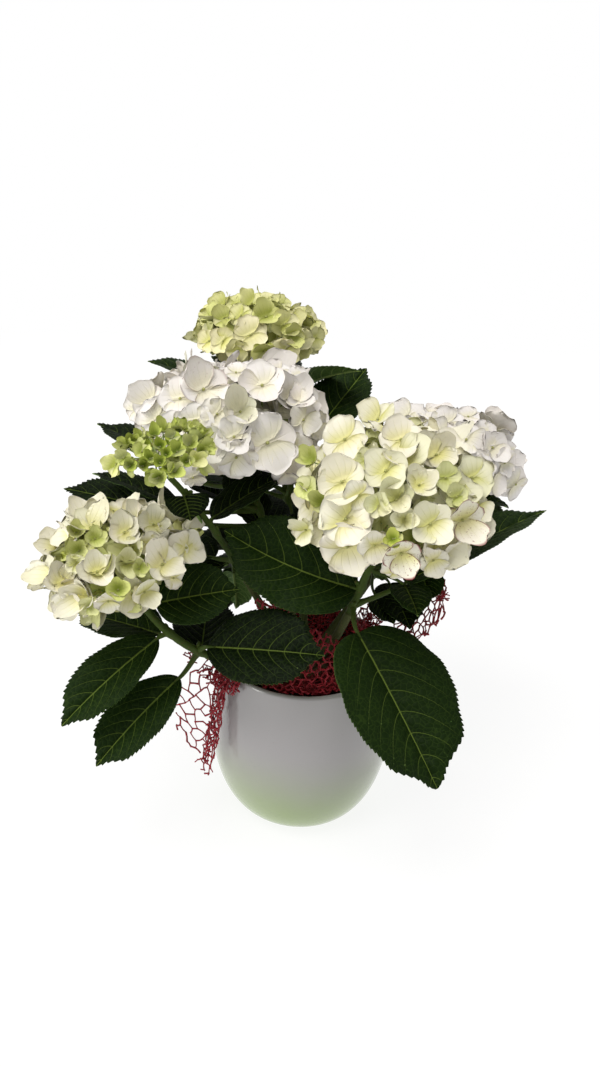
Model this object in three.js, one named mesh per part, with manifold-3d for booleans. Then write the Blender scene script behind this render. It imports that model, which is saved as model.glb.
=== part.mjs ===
// A potted bigleaf hydrangea: glazed pot, root ball, woody crown, six stems,
// each with its leafy shoot and flower head, and a loose net round the foot.
// Millimetres, +Z up, the pot's flat underside on z = 0 and its axis on x = y = 0.
import * as THREE from 'three';
import Module from 'manifold-3d';

const wasm = await Module();
wasm.setup();

// ---------------------------------------------------------------- sizes
const CLEARANCE = 0.3;            // gap left between parts that touch

const POT = {
  height: 152,
  baseRadius: 46,
  bellyRadius: 77,
  bellyHeight: 68,
  rimRadius: 72,
  bellyPower: 1.8,                // squareness of the curve below the belly
  wall: 5,
  floor: 8,
  segments: 28,
};
const SOIL_TOP = 132;
const STEM_FOOT = 148;            // height at which the stems leave the crown

// Each shoot is one bend from foot through elbow to neck, with a domed flower
// head on top.  `cut` is where the bare stem ends and the leafy shoot begins.
const SHOOTS = {
  right: {
    foot: [13, -9, STEM_FOOT], elbow: [36, -48, 208], neck: [58, -18, 288],
    radii: [4.0, 3.4], cut: 0.45,
    head: { axis: [0.05, -0.15, 0.97], radius: 74, height: 58, florets: 25, floret: 21 },
  },
  back: {
    foot: [14, 11, STEM_FOOT], elbow: [70, 55, 215], neck: [122, 122, 262],
    radii: [4.0, 3.2], cut: 0.37,
    head: { axis: [0.22, 0.20, 0.92], radius: 67, height: 52, florets: 21, floret: 20 },
  },
  mid: {
    foot: [-3, 2, STEM_FOOT], elbow: [-35, 25, 260], neck: [-70, 60, 316],
    radii: [4.0, 3.2], cut: 0.35,
    head: { axis: [-0.08, 0, 0.99], radius: 82, height: 52, florets: 26, floret: 22 },
  },
  top: {
    foot: [1, 16, STEM_FOOT], elbow: [-15, 110, 235], neck: [-54, 191, 346],
    radii: [3.8, 3.0], cut: 0.27,
    head: { axis: [0, 0.08, 0.99], radius: 61, height: 42, florets: 22, floret: 17 },
  },
  small: {
    foot: [-16, 1, STEM_FOOT], elbow: [-70, 14, 250], neck: [-100, -62, 328],
    radii: [3.4, 2.4], cut: 0.40,
    head: { axis: [-0.10, -0.12, 0.97], radius: 37, height: 21, florets: 15, floret: 12 },
  },
  left: {
    foot: [-12, -12, STEM_FOOT], elbow: [-95, -78, 166], neck: [-140, -43, 240],
    radii: [4.0, 3.2], cut: 0.43,
    head: { axis: [-0.30, -0.15, 0.93], radius: 64, height: 39, florets: 22, floret: 18 },
  },
};

// Leaves.  `at` is the place along the shoot; `stalk` and `blade` give a turn
// about Z from +X, a rise above the horizontal (degrees) and a length (mm).
// `droop` is the fall in rise from base to tip, `roll` the lift of the left
// half, `base` and `tip` the bluntness of the two ends of the blade.
const LEAVES = {
  right: [
    { at: 0.50, stalk: [-80, -32, 23], blade: [-55, -36, 129], width: 98, droop: 8, roll: 0, base: 0.42, tip: 0.55 },
    { at: 0.50, stalk: [6, 26, 44], blade: [25, 19, 134], width: 60, droop: 10, roll: -6, base: 0.5, tip: 0.7 },
    { at: 0.62, stalk: [-162, -23, 4], blade: [172, 20, 112], width: 84, droop: -22, roll: -40, base: 0.45, tip: 0.6 },
    { at: 0.72, stalk: [-1, -23, 31], blade: [-80, -4, 41], width: 32, droop: 20, roll: 0, base: 0.5, tip: 0.7 },
    { at: 0.72, stalk: [24, -11, 49], blade: [-87, -11, 39], width: 30, droop: 20, roll: 0, base: 0.5, tip: 0.7 },
  ],
  back: [
    { at: 0.62, stalk: [34, 13, 62], blade: [-72, 11, 75], width: 46, droop: 25, roll: 0, base: 0.5, tip: 0.7 },
    { at: 0.62, stalk: [100, 20, 24], blade: [100, 8, 104], width: 60, droop: 40, roll: 0, base: 0.5, tip: 0.7 },
    { at: 0.80, stalk: [150, 20, 20], blade: [150, 10, 84], width: 54, droop: 30, roll: 0, base: 0.5, tip: 0.7 },
    { at: 0.80, stalk: [20, 0, 18], blade: [10, -4, 66], width: 50, droop: 40, roll: 0, base: 0.5, tip: 0.7 },
    { at: 0.42, stalk: [50, 10, 24], blade: [50, 2, 92], width: 58, droop: 40, roll: 0, base: 0.5, tip: 0.7 },
    { at: 0.42, stalk: [90, 10, 24], blade: [92, 4, 92], width: 58, droop: 40, roll: 0, base: 0.5, tip: 0.7 },
    { at: 0.42, stalk: [-60, -10, 20], blade: [-75, -12, 56], width: 42, droop: 10, roll: 0, base: 0.5, tip: 0.7 },
    { at: 0.42, stalk: [-77, 6, 20], blade: [-50, 50, 46], width: 38, droop: 10, roll: 0, base: 0.5, tip: 0.7 },
    { at: 0.40, stalk: [-91, 0, 40], blade: [-54, -29, 28], width: 34, droop: 10, roll: 0, base: 0.5, tip: 0.7 },
  ],
  mid: [
    { at: 0.60, stalk: [-169, 24, 23], blade: [57, 5, 79], width: 56, droop: 15, roll: 0, base: 0.5, tip: 0.7 },
    { at: 0.72, stalk: [156, -7, 52], blade: [155, 17, 105], width: 50, droop: 15, roll: 0, base: 0.5, tip: 0.7 },
    { at: 0.60, stalk: [177, -2, 69], blade: [162, 12, 79], width: 40, droop: 12, roll: 8, base: 0.5, tip: 0.7 },
    { at: 0.52, stalk: [165, -5, 75], blade: [167, 7, 108], width: 40, droop: 10, roll: -30, base: 0.5, tip: 0.7 },
    { at: 0.40, stalk: [160, 0, 20], blade: [165, -15, 80], width: 50, droop: 30, roll: 0, base: 0.5, tip: 0.7 },
    { at: 0.40, stalk: [30, 10, 18], blade: [35, 0, 72], width: 50, droop: 30, roll: 0, base: 0.5, tip: 0.7 },
    { at: 0.40, stalk: [90, 15, 18], blade: [110, 5, 78], width: 46, droop: 20, roll: 0, base: 0.5, tip: 0.7 },
    { at: 0.50, stalk: [127, 11, 13], blade: [127, 30, 42], width: 40, droop: 10, roll: 0, base: 0.5, tip: 0.7 },
    { at: 0.36, stalk: [62, 21, 17], blade: [26, 47, 36], width: 42, droop: 10, roll: 0, base: 0.5, tip: 0.7 },
    { at: 0.50, stalk: [131, -63, 23], blade: [-174, -62, 39], width: 42, droop: 10, roll: 0, base: 0.5, tip: 0.7 },
  ],
  top: [
    { at: 0.50, stalk: [12, 71, 61], blade: [49, 34, 87], width: 58, droop: 0, roll: 10, base: 0.5, tip: 0.7 },
    { at: 0.72, stalk: [146, 30, 43], blade: [179, 23, 97], width: 46, droop: 20, roll: -5, base: 0.5, tip: 0.7 },
    { at: 0.72, stalk: [69, 62, 39], blade: [-43, 26, 98], width: 50, droop: 20, roll: -16, base: 0.5, tip: 0.7 },
    { at: 0.86, stalk: [80, 10, 20], blade: [85, 4, 72], width: 50, droop: 40, roll: 0, base: 0.5, tip: 0.7 },
    { at: 0.86, stalk: [125, 10, 20], blade: [120, 6, 84], width: 52, droop: 30, roll: 0, base: 0.5, tip: 0.7 },
    { at: 0.50, stalk: [170, 10, 24], blade: [170, 4, 92], width: 56, droop: 30, roll: 0, base: 0.5, tip: 0.7 },
    { at: 0.32, stalk: [95, 10, 24], blade: [112, 0, 96], width: 58, droop: 40, roll: 0, base: 0.5, tip: 0.7 },
    { at: 0.32, stalk: [60, 30, 22], blade: [60, 12, 84], width: 54, droop: 30, roll: 0, base: 0.5, tip: 0.7 },
    { at: 0.32, stalk: [170, -20, 22], blade: [165, -28, 84], width: 54, droop: 15, roll: 0, base: 0.5, tip: 0.7 },
    { at: 0.32, stalk: [-160, -25, 22], blade: [-150, -30, 80], width: 50, droop: 10, roll: 0, base: 0.5, tip: 0.7 },
    { at: 0.52, stalk: [-161, 30, 20], blade: [-169, 17, 69], width: 46, droop: 10, roll: 0, base: 0.5, tip: 0.7 },
    { at: 0.58, stalk: [-13, -40, 18], blade: [24, 46, 44], width: 40, droop: 10, roll: 0, base: 0.5, tip: 0.7 },
    { at: 0.62, stalk: [-160, -30, 60], blade: [177, 20, 39], width: 44, droop: 10, roll: 0, base: 0.5, tip: 0.7 },
  ],
  small: [
    { at: 0.86, stalk: [-97, 22, 8], blade: [-62, -47, 19], width: 34, droop: 20, roll: 0, base: 0.3, tip: 0.7 },
    { at: 0.86, stalk: [-32, -68, 8], blade: [15, -58, 17], width: 12, droop: 10, roll: 0, base: 0.5, tip: 0.7 },
    { at: 0.45, stalk: [95, -50, 28], blade: [68, -81, 38], width: 32, droop: 10, roll: 0, base: 0.5, tip: 0.7 },
    { at: 0.60, stalk: [121, 48, 13], blade: [30, 24, 66], width: 40, droop: 10, roll: 0, base: 0.5, tip: 0.7 },
    { at: 0.45, stalk: [155, -10, 18], blade: [152, -14, 64], width: 46, droop: 30, roll: 0, base: 0.5, tip: 0.7 },
    { at: 0.42, stalk: [127, -18, 15], blade: [-177, -32, 46], width: 42, droop: 10, roll: 0, base: 0.5, tip: 0.7 },
  ],
  left: [
    { at: 0.66, stalk: [-158, -22, 9], blade: [-136, -25, 95], width: 47, droop: 15, roll: -18, base: 0.62, tip: 0.62 },
    { at: 0.48, stalk: [-144, -48, 25], blade: [-133, -27, 90], width: 49, droop: 15, roll: -16, base: 0.62, tip: 0.62 },
    { at: 0.48, stalk: [-38, 40, 13], blade: [-15, 8, 93], width: 64, droop: 5, roll: 34, base: 0.6, tip: 0.62 },
    { at: 0.66, stalk: [132, -33, 15], blade: [154, -4, 81], width: 50, droop: 10, roll: -8, base: 0.55, tip: 0.7 },
    { at: 0.85, stalk: [-8, 5, 11], blade: [9, 9, 64], width: 54, droop: 5, roll: 34, base: 0.5, tip: 0.7 },
    { at: 0.48, stalk: [90, -32, 23], blade: [92, 5, 68], width: 54, droop: 0, roll: 0, base: 0.5, tip: 0.7 },
  ],
};
const LEAF_FOLD = 14;             // each half blade is lifted this much, degrees
const LEAF_STATIONS = [0.015, 0.16, 0.38, 0.62, 0.84, 1];
const STALK_STATIONS = [0, 0.4, 0.8];
const MIDRIB_STEPS = 24;
const DOME_LIMIT = 94;            // florets cover the dome down to this polar angle
const DOME_SEAT = 14;             // dome centre above the neck

// The net is laid out in columns round the foot.  Rows are [radius, height], or
// [radius at the first column, radius at the last, height] where a flap flares.
const NET = {
  columns: 24,
  first: -14,                     // turn of the first column edge, degrees
  strand: 3.0,                    // width of the strands between the holes
  thickness: 1.8,
  scatter: 1.4,                   // how far the knots wander
  // rows all the way round, then the sectors that reach further out
  collar: [[27, SOIL_TOP + CLEARANCE + 0.9], [44, 139.5], [60, 149]],
  sectors: [
    { from: 0, to: 2, rows: [[70, 155.5], [86, 168], [100, 182], [110, 202], [115, 219]] },
    { from: 2, to: 4, rows: [[67, 158], [72, 171], [77, 182]] },
    { from: 4, to: 9, rows: [[65, 160], [67, 173]] },
    {
      from: 14, to: 16,
      rows: [
        [68, 68, 154.8], [78, 77, 154.2], [94, 79, 144], [104, 80, 127],
        [108, 81, 105], [104, 83, 83], [96, 86, 58],
      ],
      taper: [2, 2, 2, 2, 2, 2, 1],
    },
  ],
};

// ---------------------------------------------------------------- helpers
function makeRandom(seed) {
  let state = seed;
  return () => {
    state = (state * 16807) % 2147483647;
    return state / 2147483647;
  };
}

const toVector = (list) => new THREE.Vector3(...list);
const radians = (degrees) => (degrees * Math.PI) / 180;

function direction(turn, rise) {
  const a = radians(turn);
  const b = radians(rise);
  return new THREE.Vector3(Math.cos(b) * Math.cos(a), Math.cos(b) * Math.sin(a), Math.sin(b));
}

function onCurve([a, b, c], t) {
  const point = a.clone().multiplyScalar((1 - t) * (1 - t));
  point.addScaledVector(b, 2 * t * (1 - t));
  return point.addScaledVector(c, t * t);
}

function alongCurve([a, b, c], t) {
  const tangent = b.clone().sub(a).multiplyScalar(1 - t);
  return tangent.add(c.clone().sub(b).multiplyScalar(t)).normalize();
}

const shootCurve = (shoot) => [toVector(shoot.foot), toVector(shoot.elbow), toVector(shoot.neck)];

function manifoldOf(vertices, triangles) {
  const mesh = new wasm.Mesh({
    numProp: 3,
    vertProperties: new Float32Array(vertices.flatMap((v) => [v.x, v.y, v.z])),
    triVerts: new Uint32Array(triangles.flat()),
  });
  const solid = new wasm.Manifold(mesh);
  return solid.volume() < 0 ? manifoldOf(vertices, triangles.map(([a, b, c]) => [a, c, b])) : solid;
}

// Closed skin over rings of equal length, capped at both ends.
function skin(rings) {
  const n = rings[0].length;
  const triangles = [];
  for (let i = 0; i + 1 < rings.length; i += 1) {
    for (let j = 0; j < n; j += 1) {
      const k = (j + 1) % n;
      triangles.push([i * n + j, i * n + k, (i + 1) * n + k]);
      triangles.push([i * n + j, (i + 1) * n + k, (i + 1) * n + j]);
    }
  }
  const last = (rings.length - 1) * n;
  for (let j = 1; j + 1 < n; j += 1) {
    triangles.push([0, j + 1, j]);
    triangles.push([last, last + j, last + j + 1]);
  }
  return manifoldOf(rings.flat(), triangles);
}

// Tapered limb along part of a curve.
function limb(curve, from, to, radiusAt, sides, steps) {
  const rings = [];
  let side = new THREE.Vector3(0.3, 1, 0.1);
  for (let i = 0; i <= steps; i += 1) {
    const t = from + ((to - from) * i) / steps;
    const along = alongCurve(curve, t);
    side = side.clone().addScaledVector(along, -side.dot(along)).normalize();
    const other = along.clone().cross(side);
    const centre = onCurve(curve, t);
    const radius = radiusAt(t);
    const ring = [];
    for (let j = 0; j < sides; j += 1) {
      const a = (2 * Math.PI * j) / sides;
      const point = centre.clone().addScaledVector(side, radius * Math.cos(a));
      ring.push(point.addScaledVector(other, radius * Math.sin(a)));
    }
    rings.push(ring);
  }
  return skin(rings);
}

// Solid of revolution about Z from a profile of [radius, height] that starts
// and ends on the axis.
function turned(profile, segments) {
  const vertices = [];
  const starts = profile.map(([radius, height]) => {
    const start = vertices.length;
    const count = radius === 0 ? 1 : segments;
    for (let j = 0; j < count; j += 1) {
      const a = (2 * Math.PI * j) / segments;
      vertices.push(new THREE.Vector3(radius * Math.cos(a), radius * Math.sin(a), height));
    }
    return { start, count };
  });
  const triangles = [];
  for (let i = 0; i + 1 < profile.length; i += 1) {
    const low = starts[i];
    const high = starts[i + 1];
    for (let j = 0; j < segments; j += 1) {
      const k = (j + 1) % segments;
      if (low.count > 1) {
        triangles.push([low.start + j, low.start + k, high.start + (high.count > 1 ? k : 0)]);
      }
      if (high.count > 1) {
        triangles.push([low.start + (low.count > 1 ? j : 0), high.start + k, high.start + j]);
      }
    }
  }
  return manifoldOf(vertices, triangles);
}

function fuse(solids) {
  return solids.reduce((sum, solid) => sum.add(solid));
}

// The largest closed body of a solid, without loose scraps.
function mainBody(solid) {
  const bodies = solid.decompose();
  return bodies.reduce((best, body) => (body.volume() > best.volume() ? body : best));
}

function toMesh(name, solid, colour, roughness) {
  const { vertProperties, triVerts, numProp } = mainBody(solid).getMesh();
  const positions = new Float32Array((vertProperties.length / numProp) * 3);
  for (let i = 0; i < positions.length / 3; i += 1) {
    for (let c = 0; c < 3; c += 1) {
      positions[i * 3 + c] = vertProperties[i * numProp + c];
    }
  }
  const geometry = new THREE.BufferGeometry();
  geometry.setAttribute('position', new THREE.BufferAttribute(positions, 3));
  geometry.setIndex(Array.from(triVerts));
  geometry.computeVertexNormals();
  const material = new THREE.MeshStandardMaterial({ color: colour, roughness, metalness: 0 });
  const mesh = new THREE.Mesh(geometry, material);
  mesh.name = name;
  return mesh;
}

// ---------------------------------------------------------------- pot and soil
function potRadius(height) {
  const { baseRadius, bellyRadius, bellyHeight, rimRadius, bellyPower } = POT;
  if (height < bellyHeight) {
    const fall = Math.pow(1 - height / bellyHeight, bellyPower);
    return baseRadius + (bellyRadius - baseRadius) * Math.pow(1 - fall, 1 / bellyPower);
  }
  const share = (height - bellyHeight) / (POT.height - bellyHeight);
  return bellyRadius + (rimRadius - bellyRadius) * share * share;
}

const WALL_HEIGHTS = [1.2, 5, 12, 24, 42, 68, 104, 134, 146];
const INNER_HEIGHTS = [134, 104, 68, 42, 24, 13];

function innerRadius(height) {
  return potRadius(height) - POT.wall;
}

function makePot() {
  const { height, wall, floor, baseRadius, rimRadius } = POT;
  const lip = wall / 2;
  const profile = [[0, 0], [baseRadius, 0]];
  WALL_HEIGHTS.forEach((z) => profile.push([potRadius(z), z]));
  [0, 45, 90, 135, 180].forEach((angle) => {
    const a = radians(angle);
    profile.push([rimRadius - lip + lip * Math.cos(a), height - lip + lip * Math.sin(a)]);
  });
  INNER_HEIGHTS.forEach((z) => profile.push([innerRadius(z), z]));
  profile.push([innerRadius(floor) - 3, floor], [0, floor]);
  return turned(profile, POT.segments);
}

function makeRootBall() {
  const floor = POT.floor + CLEARANCE;
  const profile = [[0, floor], [innerRadius(POT.floor) - 4, floor]];
  INNER_HEIGHTS.slice(1).reverse().forEach((z) => profile.push([innerRadius(z) - CLEARANCE, z]));
  const [high, low] = INNER_HEIGHTS;
  const share = (SOIL_TOP - low) / (high - low);
  const top = innerRadius(low) + (innerRadius(high) - innerRadius(low)) * share;
  profile.push([top - CLEARANCE, SOIL_TOP], [0, SOIL_TOP]);
  return turned(profile, POT.segments);
}

// ---------------------------------------------------------------- stems
function stemRadius(shoot) {
  return (t) => shoot.radii[0] + (shoot.radii[1] - shoot.radii[0]) * t;
}

// Woody crown: a flared stump on the soil with a short stub under each stem.
function makeCrown() {
  const ground = SOIL_TOP + CLEARANCE;
  const stump = turned([[0, ground], [23, ground], [18, ground + 3], [15, ground + 8], [9, 143], [0, 144]], 10);
  const stubs = Object.values(SHOOTS).map((shoot) => {
    const curve = shootCurve(shoot);
    const end = curve[0].clone().addScaledVector(alongCurve(curve, 0), -CLEARANCE);
    const start = new THREE.Vector3(end.x * 0.35, end.y * 0.35, ground + 5);
    const elbow = end.clone().addScaledVector(alongCurve(curve, 0), -5);
    const wide = shoot.radii[0] + 1.6;
    const tipRadius = shoot.radii[0] + 0.2;
    return limb([start, elbow, end], 0, 1, (t) => wide + (tipRadius - wide) * t, 6, 2);
  });
  return fuse([stump, ...stubs]);
}

function makeStem(shoot) {
  return limb(shootCurve(shoot), 0, shoot.cut, stemRadius(shoot), 8, 5);
}

// ---------------------------------------------------------------- leaves
function bladeWidth(leaf, u) {
  const peak = leaf.base / (leaf.base + leaf.tip);
  const half = Math.pow(u / peak, leaf.base) * Math.pow((1 - u) / (1 - peak), leaf.tip);
  return (leaf.width / 2) * half;
}

// Points along the midrib of a blade that starts at `foot`.
function midribOf(leaf, foot, riseAt) {
  const [turn, , length] = leaf.blade;
  const points = [foot.clone()];
  for (let i = 0; i < MIDRIB_STEPS; i += 1) {
    const rise = riseAt((i + 0.5) / MIDRIB_STEPS);
    points.push(points[i].clone().addScaledVector(direction(turn, rise), length / MIDRIB_STEPS));
  }
  return points;
}

// A leaf is one skin of four-cornered rings: the stalk's diamonds, then the
// folded blade, left edge, top of midrib, right edge, underside of midrib.
function makeLeaf(leaf, curve) {
  const [stalkTurn, stalkRise, stalkLength] = leaf.stalk;
  const [turn, rise, length] = leaf.blade;
  const riseAt = (u) => rise + leaf.droop / 2 - leaf.droop * u;
  const left = new THREE.Vector3(-Math.sin(radians(turn)), Math.cos(radians(turn)), 0);
  const roll = radians(leaf.roll);
  const ringAt = (centre, along, half, fold, thick) => {
    const flat = left.clone().addScaledVector(along, -left.dot(along)).normalize();
    const up = along.clone().cross(flat);
    const side = flat.clone().multiplyScalar(Math.cos(roll)).addScaledVector(up, Math.sin(roll));
    const normal = up.clone().multiplyScalar(Math.cos(roll)).addScaledVector(flat, -Math.sin(roll));
    const reach = half * Math.cos(radians(fold));
    const lift = half * Math.sin(radians(fold));
    return [
      centre.clone().addScaledVector(side, reach).addScaledVector(normal, lift),
      centre.clone().addScaledVector(normal, thick / 2),
      centre.clone().addScaledVector(side, -reach).addScaledVector(normal, lift),
      centre.clone().addScaledVector(normal, -thick / 2),
    ];
  };
  const node = onCurve(curve, leaf.at);
  const foot = node.clone().addScaledVector(direction(stalkTurn, stalkRise), stalkLength);
  const elbow = foot.clone().addScaledVector(direction(turn, riseAt(0)), -stalkLength * 0.3);
  const stalk = [node, elbow, foot];
  const girth = length > 60 ? 2.4 : 1.6;
  const rings = STALK_STATIONS.map((t) => {
    const radius = girth * (1 - 0.35 * t);
    return ringAt(onCurve(stalk, t), alongCurve(stalk, t), radius, 0, radius * 2);
  });
  const thickness = Math.max(1.6, length / 70);
  const midrib = midribOf(leaf, foot, riseAt);
  LEAF_STATIONS.forEach((u) => {
    const place = u * MIDRIB_STEPS;
    const low = Math.min(Math.floor(place), MIDRIB_STEPS - 1);
    const centre = midrib[low].clone().lerp(midrib[low + 1], place - low);
    const half = u < 1 ? bladeWidth(leaf, u) : 0.4;
    rings.push(ringAt(centre, direction(turn, riseAt(u)), half, LEAF_FOLD, u < 1 ? thickness : 0.5));
  });
  return skin(rings);
}

// Leafy shoot: the upper stem with its leaf stalks and blades fused on.
function makeLeafyShoot(shoot, leaves) {
  const curve = shootCurve(shoot);
  const gap = CLEARANCE / curve[2].distanceTo(curve[0]);
  const stem = limb(curve, shoot.cut + gap, 1, stemRadius(shoot), 6, 6);
  return fuse([stem, ...leaves.map((leaf) => makeLeaf(leaf, curve))]);
}

// ---------------------------------------------------------------- flower heads
// Frame at the top of a shoot: the neck, the head's axis and two sides.
function headFrame(shoot) {
  const curve = shootCurve(shoot);
  const up = toVector(shoot.head.axis).normalize();
  const side = new THREE.Vector3(0, 1, 0).cross(up).normalize();
  const other = up.clone().cross(side);
  const neck = curve[2].clone().addScaledVector(alongCurve(curve, 1), CLEARANCE);
  return { neck, up, side, other, along: alongCurve(curve, 1) };
}

// One floret: four sepals as a dished square, on a wedge sunk in the core.
function makeFloret(centre, normal, spin, radius, depth) {
  const side = new THREE.Vector3(0.31, 0.87, 0.4).cross(normal).normalize();
  const other = normal.clone().cross(side);
  const corners = 4;
  const vertices = [];
  for (let i = 0; i < corners; i += 1) {
    const a = spin + (2 * Math.PI * i) / corners;
    const point = centre.clone().addScaledVector(side, radius * Math.cos(a));
    vertices.push(point.addScaledVector(other, radius * Math.sin(a)).addScaledVector(normal, 1));
  }
  vertices.push(centre.clone().addScaledVector(normal, -1.5));
  vertices.push(centre.clone().addScaledVector(normal, -depth));
  const triangles = [];
  for (let i = 0; i < corners; i += 1) {
    const k = (i + 1) % corners;
    triangles.push([i, k, corners], [k, i, corners + 1]);
  }
  return manifoldOf(vertices, triangles);
}

function makeHead(shoot, seed) {
  const { radius, height, florets, floret } = shoot.head;
  const { neck, up, side, other, along } = headFrame(shoot);
  const random = makeRandom(seed);
  const depth = floret * 0.8;
  const coreRadius = radius - depth * 0.45;
  const coreHeight = height - depth * 0.45;
  const place = (r, h, a) => {
    const point = neck.clone().addScaledVector(up, h);
    point.addScaledVector(side, r * Math.cos(a));
    return point.addScaledVector(other, r * Math.sin(a));
  };
  const sides = 9;
  const rows = [
    [coreRadius * 0.12, 5], [coreRadius * 0.93, DOME_SEAT - 2],
    [coreRadius, DOME_SEAT + coreHeight * 0.2], [coreRadius * 0.86, DOME_SEAT + coreHeight * 0.55],
    [coreRadius * 0.55, DOME_SEAT + coreHeight * 0.85], [coreRadius * 0.12, DOME_SEAT + coreHeight],
  ];
  const rings = rows.map(([r, h]) => {
    const ring = [];
    for (let j = 0; j < sides; j += 1) {
      ring.push(place(r, h, (2 * Math.PI * j) / sides));
    }
    return ring;
  });
  const stalkEnd = neck.clone().addScaledVector(up, 12);
  const stalk = limb([neck, neck.clone().addScaledVector(along, 4), stalkEnd], 0, 1,
    (t) => shoot.radii[1] * (1 + 0.8 * t), 7, 3);
  const parts = [skin(rings), stalk];
  const limit = 1 - Math.cos(radians(DOME_LIMIT));
  for (let i = 0; i < florets; i += 1) {
    const polar = Math.acos(1 - (limit * (i + 0.5)) / florets);
    const a = i * Math.PI * (3 - Math.sqrt(5)) + 0.25 * random();
    const inset = 3 + 3 * random();
    const r = (radius - inset) * Math.sin(polar);
    const h = DOME_SEAT + (height - inset) * Math.cos(polar);
    const centre = place(r, h, a);
    const lean = new THREE.Vector3();
    lean.addScaledVector(up, Math.cos(polar) / height);
    lean.addScaledVector(side, (Math.sin(polar) * Math.cos(a)) / radius);
    lean.addScaledVector(other, (Math.sin(polar) * Math.sin(a)) / radius);
    const size = floret * (0.88 + 0.2 * random());
    parts.push(makeFloret(centre, lean.normalize(), random() * Math.PI, size, depth + 2));
  }
  return fuse(parts);
}

// ---------------------------------------------------------------- net
// The net is a sheet of four-sided cells, each with a hole, so all its strands
// are one closed body.
function makeNet() {
  const random = makeRandom(77);
  const { columns, collar, sectors, scatter, strand, thickness } = NET;
  const sectorOf = (column) => sectors.find((s) => column >= s.from && column < s.to);
  const wander = new Map();
  const shift = (column, row) => {
    const key = `${column % columns},${row}`;
    if (!wander.has(key)) {
      wander.set(key, [(random() - 0.5) * 2 * scatter, (random() - 0.5) * 2 * scatter]);
    }
    return wander.get(key);
  };
  // Knot of the sheet at a column edge and a row, for one sector's rows.
  const knot = (column, row, sector) => {
    const place = row < collar.length ? collar[row] : sector.rows[row - collar.length];
    const height = place[place.length - 1];
    const share = place.length > 2 ? (column - sector.from) / (sector.to - sector.from) : 0;
    const radius = place[0] + (place[place.length - 2] - place[0]) * share;
    const [round, out] = shift(column, row);
    const turn = radians(NET.first + (360 * column) / columns) + round / radius;
    const spread = radius + (row === 0 ? 0 : out * 0.5);
    return new THREE.Vector3(spread * Math.cos(turn), spread * Math.sin(turn), height);
  };
  const cells = [];
  for (let column = 0; column < columns; column += 1) {
    const sector = sectorOf(column);
    const extra = sector ? sector.rows.length : 0;
    for (let row = 0; row + 1 < collar.length + extra; row += 1) {
      const outer = row + 1 - collar.length;
      if (sector && sector.taper && outer >= 0) {
        const skip = sector.to - sector.from - sector.taper[outer];
        if (column - sector.from < Math.floor((skip + 1) / 2) || sector.to - 1 - column < Math.floor(skip / 2)) {
          continue;
        }
      }
      cells.push({ column, row, sector });
    }
  }
  // Shared knots with an averaged normal, then four-sided rings round each hole.
  const key = ({ column, row }) => `${column % columns},${row}`;
  const knots = new Map();
  cells.forEach((cell) => {
    const corners = [[0, 0], [1, 0], [1, 1], [0, 1]].map(([dc, dr]) => {
      const at = { column: cell.column + dc, row: cell.row + dr };
      return { id: key(at), point: knot(at.column, at.row, cell.sector) };
    });
    cell.ids = corners.map((corner) => corner.id);
    const across = corners[2].point.clone().sub(corners[0].point);
    const up = across.cross(corners[3].point.clone().sub(corners[1].point)).normalize();
    corners.forEach(({ id, point }) => {
      if (!knots.has(id)) {
        knots.set(id, { point, normal: new THREE.Vector3() });
      }
      knots.get(id).normal.add(up);
    });
  });
  const vertices = [];
  const index = new Map();
  knots.forEach(({ point, normal }, id) => {
    normal.normalize();
    index.set(id, vertices.length);
    vertices.push(point.clone().addScaledVector(normal, thickness / 2));
    vertices.push(point.clone().addScaledVector(normal, -thickness / 2));
  });
  const edges = new Map();
  cells.forEach((cell) => cell.ids.forEach((id, i) => {
    const next = cell.ids[(i + 1) % 4];
    const back = `${next}|${id}`;
    if (edges.has(back)) {
      edges.delete(back);
    } else {
      edges.set(`${id}|${next}`, [index.get(id), index.get(next)]);
    }
  }));
  const triangles = [];
  const quad = (a, b, c, d) => triangles.push([a, b, c], [a, c, d]);
  cells.forEach((cell) => {
    const corners = cell.ids.map((id) => index.get(id));
    const centre = new THREE.Vector3();
    corners.forEach((c) => centre.addScaledVector(vertices[c], 0.25));
    const hole = corners.map((c) => {
      const start = vertices.length;
      const size = vertices[c].distanceTo(centre);
      const share = (strand * 0.75) / size;
      vertices.push(vertices[c].clone().lerp(centre, share));
      const centreBelow = centre.clone().add(vertices[c + 1]).sub(vertices[c]);
      vertices.push(vertices[c + 1].clone().lerp(centreBelow, share));
      return start;
    });
    for (let i = 0; i < 4; i += 1) {
      const k = (i + 1) % 4;
      quad(corners[i], corners[k], hole[k], hole[i]);
      quad(corners[k] + 1, corners[i] + 1, hole[i] + 1, hole[k] + 1);
      quad(hole[i], hole[k], hole[k] + 1, hole[i] + 1);
    }
  });
  edges.forEach(([a, b]) => quad(b, a, a + 1, b + 1));
  return manifoldOf(vertices, triangles);
}

// ---------------------------------------------------------------- assembly
const HEAD_COLOURS = {
  right: 0xf3f0d4, back: 0xeceaea, mid: 0xf4f2ee, top: 0xdfe3a6, small: 0x9fb54a, left: 0xf2f1e0,
};

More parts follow.
